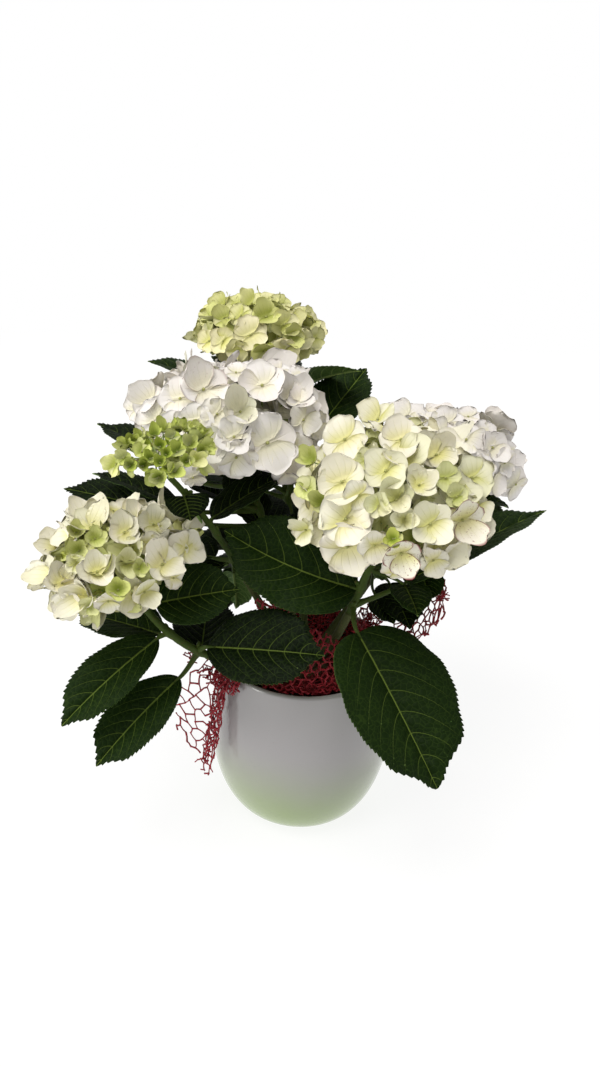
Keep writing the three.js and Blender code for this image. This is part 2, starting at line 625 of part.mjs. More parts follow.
const plant = new THREE.Group();
plant.name = 'potted_hydrangea';
plant.add(toMesh('pot', makePot(), 0xc9c8cc, 0.15));
plant.add(toMesh('root_ball', makeRootBall(), 0x2c2019, 0.95));
plant.add(toMesh('crown', makeCrown(), 0x6b5638, 0.85));
Object.entries(SHOOTS).forEach(([name, shoot], i) => {
  plant.add(toMesh(`stem_${name}`, makeStem(shoot), 0x6f7a3c, 0.7));
  plant.add(toMesh(`leaves_${name}`, makeLeafyShoot(shoot, LEAVES[name]), 0x1f3a16, 0.5));
  plant.add(toMesh(`head_${name}`, makeHead(shoot, 101 + 17 * i), HEAD_COLOURS[name], 0.7));
});
plant.add(toMesh('net', makeNet(), 0x8e1327, 0.6));

export default plant;
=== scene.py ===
import math
from collections import namedtuple
from functools import lru_cache

import bmesh
import bpy
import numpy as np
from mathutils import Matrix, Vector


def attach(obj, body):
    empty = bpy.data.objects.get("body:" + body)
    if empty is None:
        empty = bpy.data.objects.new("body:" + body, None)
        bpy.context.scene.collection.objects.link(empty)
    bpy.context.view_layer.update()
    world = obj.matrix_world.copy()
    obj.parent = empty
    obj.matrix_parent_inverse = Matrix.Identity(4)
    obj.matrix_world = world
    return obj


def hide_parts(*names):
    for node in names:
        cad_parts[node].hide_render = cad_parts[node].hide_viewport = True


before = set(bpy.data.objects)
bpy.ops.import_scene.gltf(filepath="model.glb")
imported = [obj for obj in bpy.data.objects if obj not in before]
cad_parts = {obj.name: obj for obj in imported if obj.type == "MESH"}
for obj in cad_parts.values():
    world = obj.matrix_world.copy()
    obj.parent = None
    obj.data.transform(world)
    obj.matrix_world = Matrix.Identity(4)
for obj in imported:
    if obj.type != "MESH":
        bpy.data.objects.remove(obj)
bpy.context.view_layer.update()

MM = 0.001

# ---------------------------------------------------------------- camera
FOCAL_PIXELS = 900.0
IMAGE_WIDTH = 600.0
IMAGE_HEIGHT = 1067.0
SENSOR = 36.0
CAMERA_PLACE = (-8.0, -637.0, 573.0)
CAMERA_PITCH = 26.3
CAMERA_ROLL = 2.5

# ---------------------------------------------------------------- pot and soil
POT_HEIGHT = 152.0
POT_BASE = 46.0
POT_BELLY = 77.0
POT_BELLY_HEIGHT = 68.0
POT_RIM = 72.0
POT_POWER = 1.8
POT_WALL = 5.0
POT_FLOOR = 8.0
SOIL_TOP = 132.0
STEM_FOOT = 148.0

# ---------------------------------------------------------------- shoots
# Foot, elbow and neck of a shoot's curve, its radii at foot and neck, and the
# share of it that is bare stem; then the flower head's axis, radius and height.
SHOOTS = {
    "right": dict(foot=(13, -9, STEM_FOOT), elbow=(36, -48, 208), neck=(58, -18, 288), radii=(4.0, 3.4),
                  cut=0.45, axis=(0.05, -0.15, 0.97), radius=74, height=58),
    "back": dict(foot=(14, 11, STEM_FOOT), elbow=(70, 55, 215), neck=(122, 122, 262), radii=(4.0, 3.2),
                 cut=0.37, axis=(0.22, 0.20, 0.92), radius=67, height=52),
    "mid": dict(foot=(-3, 2, STEM_FOOT), elbow=(-35, 25, 260), neck=(-70, 60, 316), radii=(4.0, 3.2),
                cut=0.35, axis=(-0.08, 0, 0.99), radius=82, height=52),
    "top": dict(foot=(1, 16, STEM_FOOT), elbow=(-15, 110, 235), neck=(-54, 191, 346), radii=(3.8, 3.0),
                cut=0.27, axis=(0, 0.08, 0.99), radius=61, height=42),
    "small": dict(foot=(-16, 1, STEM_FOOT), elbow=(-70, 14, 250), neck=(-100, -62, 328), radii=(3.4, 2.4),
                  cut=0.40, axis=(-0.10, -0.12, 0.97), radius=37, height=21),
    "left": dict(foot=(-12, -12, STEM_FOOT), elbow=(-95, -78, 166), neck=(-140, -43, 240),
                 radii=(4.0, 3.2), cut=0.43, axis=(-0.30, -0.15, 0.93), radius=64, height=39),
}

# Leaf rows: place on the shoot; stalk turn, rise, length; blade turn, rise,
# length; width, droop, roll, and bluntness of base and tip where it isn't the usual one.
LEAF_ROWS = {
    "right": [
        (0.50, (-80, -32, 23), (-55, -36, 129), 98, 8, 0, 0.42, 0.55),
        (0.50, (6, 26, 44), (25, 19, 134), 52, 10, -6),
        (0.62, (-162, -23, 4), (172, 20, 112), 76, -22, -40, 0.45, 0.6),
        (0.72, (-1, -23, 31), (-80, -4, 41), 32, 20, 0),
        (0.72, (24, -11, 49), (-87, -11, 39), 30, 20, 0),
    ],
    "back": [
        (0.62, (34, 13, 62), (-72, 11, 75), 46, 25, 0),
        (0.62, (100, 20, 24), (100, 8, 104), 60, 40, 0),
        (0.80, (150, 20, 20), (150, 10, 84), 54, 30, 0),
        (0.80, (20, 0, 18), (10, -4, 66), 50, 40, 0),
        (0.42, (50, 10, 24), (50, 2, 92), 58, 40, 0),
        (0.42, (90, 10, 24), (92, 4, 92), 58, 40, 0),
        (0.42, (-60, -10, 20), (-75, -12, 56), 42, 10, 0),
        (0.42, (-77, 6, 20), (-50, 50, 46), 38, 10, 0),
        (0.40, (-91, 0, 40), (-54, -29, 28), 34, 10, 0),
    ],
    "mid": [
        (0.60, (-169, 24, 23), (57, 5, 79), 56, 15, 0),
        (0.72, (156, -7, 52), (155, 17, 105), 50, 15, 0),
        (0.60, (177, -2, 69), (162, 12, 79), 40, 12, 8),
        (0.52, (165, -5, 75), (167, 7, 108), 40, 10, -30),
        (0.40, (160, 0, 20), (165, -15, 80), 50, 30, 0),
        (0.40, (30, 10, 18), (35, 0, 72), 50, 30, 0),
        (0.40, (90, 15, 18), (110, 5, 78), 46, 20, 0),
        (0.50, (127, 11, 13), (127, 30, 42), 40, 10, 0),
        (0.36, (62, 21, 17), (26, 47, 36), 42, 10, 0),
        (0.50, (131, -63, 23), (-174, -62, 39), 42, 10, 0),
    ],
    "top": [
        (0.50, (12, 71, 61), (49, 34, 87), 58, 0, 10),
        (0.72, (146, 30, 43), (179, 23, 97), 46, 20, -5),
        (0.72, (69, 62, 39), (-43, 26, 98), 50, 20, -16),
        (0.86, (80, 10, 20), (85, 4, 72), 50, 40, 0),
        (0.86, (125, 10, 20), (120, 6, 84), 52, 30, 0),
        (0.50, (170, 10, 24), (170, 4, 92), 56, 30, 0),
        (0.32, (95, 10, 24), (112, 0, 96), 58, 40, 0),
        (0.32, (60, 30, 22), (60, 12, 84), 54, 30, 0),
        (0.32, (170, -20, 22), (165, -28, 84), 54, 15, 0),
        (0.32, (-160, -25, 22), (-150, -30, 80), 50, 10, 0),
        (0.52, (-161, 30, 20), (-169, 17, 69), 46, 10, 0),
        (0.58, (-13, -40, 18), (24, 46, 44), 40, 10, 0),
        (0.62, (-160, -30, 60), (177, 20, 39), 44, 10, 0),
    ],
    "small": [
        (0.86, (-97, 22, 8), (-62, -47, 19), 34, 20, 0, 0.3, 0.7),
        (0.86, (-32, -68, 8), (15, -58, 17), 12, 10, 0),
        (0.45, (95, -50, 28), (68, -81, 38), 32, 10, 0),
        (0.60, (121, 48, 13), (30, 24, 66), 40, 10, 0),
        (0.45, (155, -10, 18), (152, -14, 64), 46, 30, 0),
        (0.42, (127, -18, 15), (-177, -32, 46), 34, 10, 0),
    ],
    "left": [
        (0.66, (-158, -22, 9), (-136, -25, 95), 45, 15, -18, 0.62, 0.62),
        (0.48, (-144, -48, 25), (-133, -27, 90), 47, 15, -16, 0.62, 0.62),
        (0.48, (-38, 40, 13), (-15, 8, 93), 64, 5, 34, 0.6, 0.62),
        (0.66, (132, -33, 15), (154, -4, 81), 50, 10, -8, 0.55, 0.7),
        (0.85, (-8, 5, 11), (9, 9, 64), 54, 5, 34),
        (0.48, (90, -32, 23), (92, 5, 68), 54, 0, 0),
    ],
}
Leaf = namedtuple("Leaf", "at stalk blade width droop roll base tip", defaults=(0.5, 0.7))
LEAVES = {name: [Leaf(*row) for row in rows] for name, rows in LEAF_ROWS.items()}
# Rows of the leaves in the middle of the plant whose darker green is painted shade, for the shade that the
# heads cast on them; the whole number in a leaf's tone says that it is one of them.
PAINTED_SHADE_LEAVES = {"left": (2, 5), "mid": range(10), "small": range(6), "back": (6, 7, 8), "top": range(6, 13)}
LEAF_FOLD = 14.0

# ---------------------------------------------------------------- net
# Rows are (radius, height), or (radius at the first turn, at the last, height).
COLLAR_ROWS = [(20, 133.0), (27, 133.4), (44, 139.5), (60, 149), (65.5, 151.0)]
NET_SHEETS = {
    # first and last turn, rows, width and cell size in mm, layers, squeeze towards the last turn
    "wing": (-14, 16, [(60, 149), (70, 155.5), (86, 168), (100, 182), (110, 202),
                       (115, 219)], 26, 4.6, 2, 1.0),
    "flank": (16, 46, [(60, 149), (67, 158), (72, 171), (77, 182)], 34, 4.4, 2, 1.0),
    "rise": (46, 121, [(60, 149), (65, 160), (67, 173)], 88, 4.6, 2, 1.0),
    "sash": (-146, -50, [(60, 60, 149), (57, 56, 160), (54, 49, 172), (52, 42, 184), (50, 38, 196),
                         (49, 36, 207), (49, 35, 217)], 84, 4.2, 2, 1.0),
    "gather": (200, 228, [(60, 60, 149), (68, 68, 154.8), (77, 76, 154.6), (88, 79, 149),
                          (96, 80, 142)], 46, 3.3, 3, 1.4),
    "pleat": (208, 220, [(76, 154.8), (80, 148), (83, 130), (87, 108), (91, 86),
                          (95, 66)], 22, 4.0, 2, 1.0),
    "drape": (196, 219, [(60, 60, 149), (68, 68, 154.8), (78, 77, 154.2), (94, 79, 144), (105, 81, 127),
                         (110, 85, 105), (109, 90, 83), (104, 95, 58)], 60, 6.0, 1, 2.0),
}
# How far each sheet reaches, as shares along its length at shares across it.
NET_HEMS = {
    "wing": ((0.0, 0.4, 0.8, 1.0), (0.80, 1.0, 0.95, 0.7)),
    "flank": ((0.0, 0.5, 1.0), (0.9, 0.75, 0.6)),
    "rise": ((0.0, 0.3, 0.6, 1.0), (0.8, 0.6, 1.0, 0.9)),
    "sash": ((0.0, 0.08, 0.3, 0.5, 0.75, 1.0), (0.88, 1.0, 0.98, 0.80, 0.66, 0.5)),
    "gather": ((0.0, 0.5, 1.0), (0.85, 1.0, 0.9)),
    "pleat": ((0.0, 0.4, 1.0), (0.95, 1.0, 0.70)),
    "drape": ((0.0, 0.2, 0.45, 0.7, 0.9, 1.0), (0.74, 0.85, 0.94, 1.0, 0.95, 0.80)),
}
# Bunched, frayed places: turn, radius, height, reach and number of strands.
NET_TUFTS = [
    (62, 52, 152, 12, 22),
    (30, 62, 158, 12, 20),
    (0, 108, 205, 9, 12),
    (110, 62, 168, 12, 12),
    (-32, 52, 184, 11, 26),
    (-150, 46, 190, 9, 12),
    (-142, 77, 158, 8, 20),
    (-158, 98, 160, 9, 9),
]


# ---------------------------------------------------------------- vector helpers
def unit(v):
    return v / np.maximum(np.linalg.norm(v, axis=-1, keepdims=True), 1e-12)


def vec(*values):
    return np.array(values, dtype=float)


def direction(turn, rise):
    """Unit vector at a turn from +x and a rise above level, both in degrees."""
    a = math.radians(turn)
    b = math.radians(rise)
    return vec(math.cos(b) * math.cos(a), math.cos(b) * math.sin(a), math.sin(b))


def on_curve(curve, t):
    """Points of a three-point curve at the shares t of its way."""
    t = np.asarray(t, dtype=float)[..., None]
    return (1 - t) ** 2 * curve[0] + 2 * t * (1 - t) * curve[1] + t * t * curve[2]


def along_curve(curve, t):
    """Which way the curve runs at the shares t."""
    t = np.asarray(t, dtype=float)[..., None]
    return unit((1 - t) * (curve[1] - curve[0]) + t * (curve[2] - curve[1]))


def shoot_curve(shoot):
    return [vec(*shoot["foot"]), vec(*shoot["elbow"]), vec(*shoot["neck"])]


def smooth(x, low, high):
    x = np.clip((x - low) / (high - low), 0, 1)
    return x * x * (3 - 2 * x)


def camera_axes():
    """The camera's right, up and forward directions."""
    pitch = math.radians(CAMERA_PITCH)
    roll = math.radians(CAMERA_ROLL)
    ahead = vec(0, math.cos(pitch), -math.sin(pitch))
    level = vec(1, 0, 0)
    lift = np.cross(level, ahead)
    right = level * math.cos(roll) + lift * math.sin(roll)
    rise = lift * math.cos(roll) - level * math.sin(roll)
    return right, rise, ahead


EYE = vec(*CAMERA_PLACE)
RIGHT, RISE, AHEAD = camera_axes()


def sight(x, y):
    """Unit line of sight through a place in the picture."""
    across = (x - IMAGE_WIDTH / 2) / FOCAL_PIXELS
    down = (y - IMAGE_HEIGHT / 2) / FOCAL_PIXELS
    return unit(AHEAD + across * RIGHT - down * RISE)


def picture(point):
    """Place in the picture where a point is seen, and picture pixels per mm there."""
    offset = point - EYE
    scale = FOCAL_PIXELS / np.dot(offset, AHEAD)
    x = IMAGE_WIDTH / 2 + np.dot(offset, RIGHT) * scale
    y = IMAGE_HEIGHT / 2 - np.dot(offset, RISE) * scale
    return x, y, scale


# ---------------------------------------------------------------- mesh gathering
CAP_BULGE = 0.3                   # how far a tube's end stands out, in its radii


class Skin:
    """Vertices, faces and per-vertex facts of one piece, gathered part by part."""

    def __init__(self):
        self.points = []
        self.facts = []
        self.tones = []
        self.faces = {3: [], 4: []}
        self.slots = {3: [], 4: []}
        self.crisp = {3: [], 4: []}
        self.count = 0

    def add(self, points, quads=None, trios=None, fact=(0, 0, 0), tone=(0, 0, 0), slot=0, rim=0):
        """slot is one number or one for each face; the last rim faces are crisp, thin edges."""
        n = len(points)
        self.points.append(points)
        for corners, faces in ((4, quads), (3, trios)):
            if faces is not None:
                self.faces[corners].append(np.asarray(faces) + self.count)
                self.slots[corners].append(np.broadcast_to(slot, len(faces)))
                self.crisp[corners].append(np.arange(len(faces)) >= len(faces) - rim)
        self.facts.append(np.broadcast_to(fact, (n, 3)))
        self.tones.append(np.broadcast_to(tone, (n, 3)))
        self.count += n

    def add_plate(self, top, below, place, tone, under=0, inward=False):
        """A thin closed sheet between two grids of points, with a crisp rim.

        under is the material slot of the lower side and the rim; inward winds
        the upper and lower faces, but not the rim, towards the sheet's inside.
        """
        upper, lower, rim = plate_faces(*top.shape[:2], inward)
        slots = np.repeat([0, under], [len(upper), len(lower) + len(rim)])
        points = np.concatenate([top.reshape(-1, 3), below.reshape(-1, 3)])
        faces = np.concatenate([upper, lower, rim])
        place = np.tile(place.reshape(-1, 3), (2, 1))
        self.add(points, faces, fact=place, tone=tone, slot=slots, rim=len(rim))

    def piece(self, name, materials, node, slot):
        """Makes the object, rides it on the root and hides the part of the model that it stands for."""
        quads, trios = (np.concatenate(self.faces[k] + [np.zeros((0, k), int)]) for k in (4, 3))
        loops = np.concatenate([quads.ravel(), trios.ravel()])
        starts = np.concatenate([np.arange(len(quads)) * 4, quads.size + np.arange(len(trios)) * 3])
        totals = np.repeat([4, 3], [len(quads), len(trios)])
        mesh = bpy.data.meshes.new(name)
        mesh.vertices.add(self.count)
        mesh.vertices.foreach_set("co", (np.concatenate(self.points) * MM).astype(np.float32).ravel())
        mesh.loops.add(len(loops))
        mesh.loops.foreach_set("vertex_index", loops.astype(np.int32))
        mesh.polygons.add(len(starts))
        mesh.polygons.foreach_set("loop_start", starts.astype(np.int32))
        mesh.polygons.foreach_set("loop_total", totals.astype(np.int32))
        for material in materials:
            mesh.materials.append(material)
        slots = np.concatenate(self.slots[4] + self.slots[3])
        mesh.polygons.foreach_set("material_index", slots.astype(np.int32))
        mesh.update(calc_edges=True)
        for label, values in (("place", self.facts), ("tone", self.tones)):
            layer = mesh.attributes.new(label, "FLOAT_VECTOR", "POINT")
            layer.data.foreach_set("vector", np.concatenate(values).astype(np.float32).ravel())
        mesh.validate()
        mesh.shade_smooth()
        crisp = np.concatenate(self.crisp[4] + self.crisp[3])
        if crisp.any():
            mesh.attributes.new("sharp_face", "BOOLEAN", "FACE").data.foreach_set("value", crisp)
        obj = bpy.data.objects.new(name, mesh)
        bpy.context.scene.collection.objects.link(obj)
        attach(obj, "root")
        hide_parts(node)


def ring_quads(rows, sides):
    """Quads between rows of closed rings."""
    i, j = np.meshgrid(np.arange(rows - 1), np.arange(sides), indexing="ij")
    k = (j + 1) % sides
    low, high = i * sides, (i + 1) * sides
    return np.stack([low + j, low + k, high + k, high + j], -1).reshape(-1, 4)


def ring_points(radii, heights, sides):
    """Points of level rings round the pot's axis; radii and heights have a row for each ring."""
    a = 2 * np.pi * np.arange(sides) / sides
    radii, heights = np.broadcast_arrays(radii * np.ones(sides), heights)
    return np.stack([radii * np.cos(a), radii * np.sin(a), heights], -1).reshape(-1, 3)


@lru_cache(maxsize=None)
def plate_faces(rows, columns, inward):
    """Upper, lower and rim faces of a sheet between two grids of points."""
    i, j = np.meshgrid(np.arange(rows - 1), np.arange(columns - 1), indexing="ij")
    a = i * columns + j
    quads = np.stack([a, a + 1, a + columns + 1, a + columns], -1).reshape(-1, 4)
    first_row = np.arange(columns)
    last_column = np.arange(1, rows) * columns + columns - 1
    last_row = (rows - 1) * columns + np.arange(columns - 2, -1, -1)
    first_column = np.arange(rows - 2, 0, -1) * columns
    edge = np.concatenate([first_row, last_column, last_row, first_column])
    ahead = np.roll(edge, -1)
    n = rows * columns
    upper, lower = (quads, quads[:, ::-1]) if inward else (quads[:, ::-1], quads)
    return upper, lower + n, np.stack([ahead, ahead + n, edge + n, edge], -1)


def sweep_frames(points):
    """Two cross directions at each point of a path, without twist, and the way along it."""
    along = unit(np.gradient(points, axis=0))
    side = vec(0.31, 0.2, 0.93)
    sides = []
    for t in along:
        side = side - t * np.dot(side, t)
        side = side / max(np.linalg.norm(side), 1e-9)
        sides.append(side)
    sides = np.array(sides)
    return sides, np.cross(along, sides), along


def tube(points, radii, sides, relief=1.0):
    """Closed tube along a path, as Skin.add takes it; relief is a radius factor for each ring and side."""
    side, other, along = sweep_frames(points)
    rows = len(points)
    last = rows * sides
    angle = 2 * np.pi * np.arange(sides) / sides
    radii = np.broadcast_to(radii, (rows,))
    reach = radii[:, None] * relief * np.ones(sides)
    ring = side[:, None] * np.cos(angle)[None, :, None] + other[:, None] * np.sin(angle)[None, :, None]
    skin = points[:, None] + ring * reach[..., None]
    first_cap = points[0] - along[0] * radii[0] * CAP_BULGE
    last_cap = points[-1] + along[-1] * radii[-1] * CAP_BULGE
    verts = np.concatenate([skin.reshape(-1, 3), [first_cap, last_cap]])
    j = np.arange(sides)
    k = (j + 1) % sides
    low = np.stack([np.full(sides, last), k, j], -1)
    high = np.stack([np.full(sides, last + 1), (rows - 1) * sides + j, (rows - 1) * sides + k], -1)
    fact = np.zeros((len(verts), 3))
    fact[:last, 0] = np.repeat(np.linspace(0, 1, rows), sides)
    fact[:last, 1] = np.tile(j / sides, rows)
    fact[last + 1, 0] = 1
    return verts, ring_quads(rows, sides), np.concatenate([low, high]), fact


@lru_cache(maxsize=None)
def unit_ball():
    """Points and faces of a 42-point ball."""
    bm = bmesh.new()
    bmesh.ops.create_icosphere(bm, subdivisions=2, radius=1.0)
    bm.verts.ensure_lookup_table()
    points = np.array([v.co[:] for v in bm.verts])
    faces = np.array([[v.index for v in f.verts] for f in bm.faces])
    bm.free()
    return points, faces


def ball(centre, radius, squash, axis):
    """A ball squashed along an axis, as Skin.add takes it."""
    points, faces = unit_ball()
    axis = unit(np.asarray(axis, dtype=float))
    height = points @ axis
    shape = points + (squash - 1) * height[:, None] * axis
    return centre + radius * shape, None, faces


# ---------------------------------------------------------------- materials
class Term:
    """A value inside a material; a sum written with terms becomes its math nodes."""

    def __init__(self, graph, socket):
        self.graph = graph
        self.socket = socket

    def __add__(self, other):
        return self.graph.math("ADD", self, other)

    def __radd__(self, other):
        return self.graph.math("ADD", other, self)

    def __sub__(self, other):
        return self.graph.math("SUBTRACT", self, other)

    def __rsub__(self, other):
        return self.graph.math("SUBTRACT", other, self)

    def __mul__(self, other):
        return self.graph.math("MULTIPLY", self, other)

    def __truediv__(self, other):
        return self.graph.math("DIVIDE", self, other)

    def __pow__(self, other):
        return self.graph.math("POWER", self, other)

    def __abs__(self):
        return self.graph.math("ABSOLUTE", self)


class Graph:
    """Small helper for a Principled material and the nodes that feed it."""

    def __init__(self, name, **settings):
        self.material = bpy.data.materials.new(name)
        self.material.use_nodes = True
        self.tree = self.material.node_tree
        self.shader = self.tree.nodes["Principled BSDF"]
        for key, value in settings.items():
            self.shader.inputs[key.replace("_", " ")].default_value = value

    def node(self, kind, **settings):
        node = self.tree.nodes.new(kind)
        for key, value in settings.items():
            setattr(node, key, value)
        return node

    def wire(self, source, socket):
        """Feeds a term into a socket, or sets a plain number or colour on it."""
        if isinstance(source, Term):
            self.tree.links.new(source.socket, socket)
        else:
            socket.default_value = colour(source) if isinstance(source, tuple) else source

    def math(self, operation, a, b=0.0):
        node = self.node("ShaderNodeMath", operation=operation)
        self.wire(a, node.inputs[0])
        self.wire(b, node.inputs[1])
        return Term(self, node.outputs[0])

    def band(self, value, low, high, top=1.0):
        """0 below low and top above high; low may be the greater one."""
        node = self.node("ShaderNodeMapRange", interpolation_type="SMOOTHSTEP")
        self.wire(value, node.inputs["Value"])
        self.wire(low, node.inputs["From Min"])
        self.wire(high, node.inputs["From Max"])
        node.inputs["To Max"].default_value = top
        return Term(self, node.outputs["Result"])

    def mix(self, share, a, b):
        """The colour a with a share of the colour b."""
        node = self.node("ShaderNodeMix", data_type="RGBA")
        self.wire(share, node.inputs["Factor"])
        self.wire(a, node.inputs[6])
        self.wire(b, node.inputs[7])
        return Term(self, node.outputs[2])

    def split(self, vector):
        node = self.node("ShaderNodeSeparateXYZ")
        self.wire(vector, node.inputs[0])
        return [Term(self, output) for output in node.outputs]

    def combine(self, x, y, z=0.0):
        node = self.node("ShaderNodeCombineXYZ")
        for i, value in enumerate((x, y, z)):
            self.wire(value, node.inputs[i])
        return Term(self, node.outputs[0])

    def attribute(self, name):
        """The three numbers that the mesh keeps under a name."""
        node = self.node("ShaderNodeAttribute", attribute_name=name)
        return self.split(Term(self, node.outputs["Vector"]))

    def place(self):
        return Term(self, self.node("ShaderNodeTexCoord").outputs["Object"])

    def noise(self, vector, scale, detail=3.0, rough=0.55):
        node = self.node("ShaderNodeTexNoise")
        self.wire(vector, node.inputs["Vector"])
        node.inputs["Scale"].default_value = scale
        node.inputs["Detail"].default_value = detail
        node.inputs["Roughness"].default_value = rough
        return Term(self, node.outputs["Fac"])

    def cells(self, vector, scale, feature="DISTANCE_TO_EDGE"):
        node = self.node("ShaderNodeTexVoronoi", feature=feature)
        self.wire(vector, node.inputs["Vector"])
        node.inputs["Scale"].default_value = scale
        return Term(self, node.outputs["Distance"])

    def dress(self, base, height, strength, distance, rough=None):
        """Gives the shader its colour, relief and roughness; returns the material."""
        node = self.node("ShaderNodeBump")
        self.wire(height, node.inputs["Height"])
        node.inputs["Strength"].default_value = strength
        node.inputs["Distance"].default_value = distance
        self.tree.links.new(node.outputs[0], self.shader.inputs["Normal"])
        self.wire(base, self.shader.inputs["Base Color"])
        if rough:
            self.wire(rough, self.shader.inputs["Roughness"])
        return self.material


def colour(rgb):
    """sRGB triple, 0 to 255, as a linear RGBA."""
    out = []
    for c in rgb:
        c = c / 255.0
        out.append(c / 12.92 if c <= 0.04045 else ((c + 0.055) / 1.055) ** 2.4)
    return (*out, 1.0)


# ---------------------------------------------------------------- leaves
LATERALS = 7.5                    # side veins on each side of the midrib
ARCH = 0.42                       # how far forward a side vein runs, as a share of the length
ARCH_POWER = 1.5
LEAF_ACROSS = np.array([0, 0.03, 0.08, 0.16, 0.26, 0.37, 0.48, 0.59, 0.70, 0.80, 0.89, 0.95, 1.0])
LEAF_THICKNESS = 0.5
RIB_THICKNESS = 1.0               # added under the midrib
MIDRIB_STEPS = 240
FEWEST_TEETH = 8
TOOTH_PITCH = 3.6
TOOTH_LIMIT = 1.4
TOOTH_SHARE = 0.017               # of the blade's length
TOOTH_PHASES = np.array([0.0, 0.5, 0.86])
TOOTH_HEIGHTS = (0.0, 0.62, 1.0)
FIRST_SHARE = 0.006               # where the first row across the blade lies
LEAST_WIDTH = 0.12
QUILT = 0.019                     # swelling between the side veins, as a share of the width
LONG_BLADE = 60.0                 # longer blades have the stout stalk
STALK_GIRTHS = (2.4, 1.6)


def leaf_width(leaf, u):
    """Half width of a blade at the share u of its length, drawn out to a point near its tip."""
    peak = leaf.base / (leaf.base + leaf.tip)
    half = (u / peak) ** leaf.base * (np.maximum(1 - u, 0) / (1 - peak)) ** leaf.tip
    point = 1 - 0.52 * smooth(u, 0.79, 0.95)
    return leaf.width / 2 * half * point


def midrib(leaf, foot, u):
    """Places on the midrib at the shares u, the way it runs there, and the level way across it."""
    turn, rise, length = leaf.blade
    ahead = direction(turn, 0)

    def heading(share):
        rises = np.radians(rise + leaf.droop / 2 - leaf.droop * share)[:, None]
        return np.cos(rises) * ahead + np.sin(rises) * vec(0, 0, 1)

    fine = np.linspace(0, 1, MIDRIB_STEPS + 1)
    steps = heading(fine)
    run = np.concatenate([np.zeros((1, 3)), np.cumsum((steps[1:] + steps[:-1]) / 2, axis=0)])
    path = foot + run * length / MIDRIB_STEPS
    middle = np.stack([np.interp(u, fine, path[:, i]) for i in range(3)], -1)
    return middle, heading(u), vec(-ahead[1], ahead[0], 0)


def add_blade(skin, leaf, foot, painted_shade, rng):
    """A toothed, folded and quilted blade; its fourth argument is true for a leaf whose darker green is
    painted shade.
    """
    length = leaf.blade[2]
    roll = math.radians(leaf.roll)
    fold = math.radians(LEAF_FOLD)
    teeth = max(FEWEST_TEETH, round(length / TOOTH_PITCH))
    u = np.append(((np.arange(teeth)[:, None] + TOOTH_PHASES) / teeth).ravel(), 1.0)
    u[0] = FIRST_SHARE
    saw = np.append(np.tile(TOOTH_HEIGHTS, teeth), 0.0)
    middle, along, flat = midrib(leaf, foot, u)
    up = np.cross(along, flat)
    side = flat * math.cos(roll) + up * math.sin(roll)
    normal = up * math.cos(roll) - flat * math.sin(roll)

    U, V = np.meshgrid(u, np.concatenate([-LEAF_ACROSS[:0:-1], LEAF_ACROSS]), indexing="ij")
    A = np.abs(V)
    half = leaf_width(leaf, np.clip(u, 0, 0.9985))[:, None]
    # teeth grow out of the margin, larger towards the middle of the blade
    tooth = min(TOOTH_LIMIT, TOOTH_SHARE * length) * (0.35 + 0.65 * smooth(u, 0.2, 0.55))
    tooth = (tooth * smooth(u, 0.06, 0.2) * (1 - smooth(u, 0.96, 1.0)) * saw)[:, None]
    margin = smooth(A, 0.84, 1.0)
    reach = np.maximum(half + tooth * margin - 0.5 * margin * tooth.max(), LEAST_WIDTH) * A
    # both halves rise from the midrib and ripple along the margin
    swap = rng.uniform(0, 6.28, 4)
    ripple = 0.030 * np.sin(2 * np.pi * U * 2.3 + swap[0] + np.sign(V) * swap[1])
    ripple = ripple + 0.014 * np.sin(2 * np.pi * U * 5.1 + swap[2] + np.sign(V) * swap[3])
    lift = reach * math.sin(fold) + 0.05 * half * np.sin(np.pi * A) + ripple * leaf.width * 0.5 * A ** 2.5
    # the blade swells between its side veins and sinks along its midrib
    S = U - ARCH * A ** ARCH_POWER * half / (leaf.width / 2)
    cell = np.sin(np.pi * S * LATERALS) ** 2
    quilt = QUILT * leaf.width * cell * np.minimum(1, A / 0.14) * (1 - A ** 4) * smooth(U, 0.02, 0.15)
    quilt = quilt * (1 - smooth(U, 0.86, 1.0)) - 0.35 * np.exp(-(reach / 1.2) ** 2)
    across = np.sign(V) * reach * math.cos(fold)
    shift = tooth * smooth(A, 0.9, 1.0) * 0.55
    top = middle[:, None] + side[:, None] * across[..., None]
    top = top + normal[:, None] * (lift + quilt)[..., None] + along[:, None] * shift[..., None]
    rib = RIB_THICKNESS * np.exp(-(reach / 0.9) ** 2) * (1 - 0.7 * U)
    thick = LEAF_THICKNESS * (1 - 0.6 * A ** 3) + rib
    below = top - normal[:, None] * thick[..., None]
    place = np.stack([U, V, np.sign(V) * reach], -1)
    # the whole number added to the tone marks a leaf whose darker green is painted shade
    tone = vec(rng.uniform(0, 0.98) + painted_shade, length / 100, leaf.width / 100)
    skin.add_plate(top, below, place, tone, under=1)


def leaf_stalk(leaf, curve):
    """Path and radii of a stalk from its node on the shoot into the blade, and the blade's foot."""
    turn, rise, length = leaf.stalk
    blade_turn, blade_rise, blade_length = leaf.blade
    node = on_curve(curve, leaf.at)
    foot = node + direction(turn, rise) * length
    onwards = direction(blade_turn, blade_rise + leaf.droop / 2)
    girth = STALK_GIRTHS[0] if blade_length > LONG_BLADE else STALK_GIRTHS[1]
    t = np.linspace(0, 1, 12)
    path = on_curve([node, foot - onwards * length * 0.3, foot], t)
    reach = girth * (1 - 0.35 * t) * (1 + 0.5 * smooth(1 - t, 0.8, 1.0))
    end = foot + onwards * min(6.0, 0.08 * blade_length)
    return np.concatenate([path, [end]]), np.append(reach, girth * 0.35), foot


def side_veins(graph, u, v, w, width):
    """Share of the way from one side vein to the next, 0 on a vein, half way 0.5."""
    out = abs(w) / (width * 50.0)
    bend = abs(v) ** (ARCH_POWER - 1) * out * ARCH
    return graph.math("PINGPONG", (u - bend) * LATERALS, 0.5)


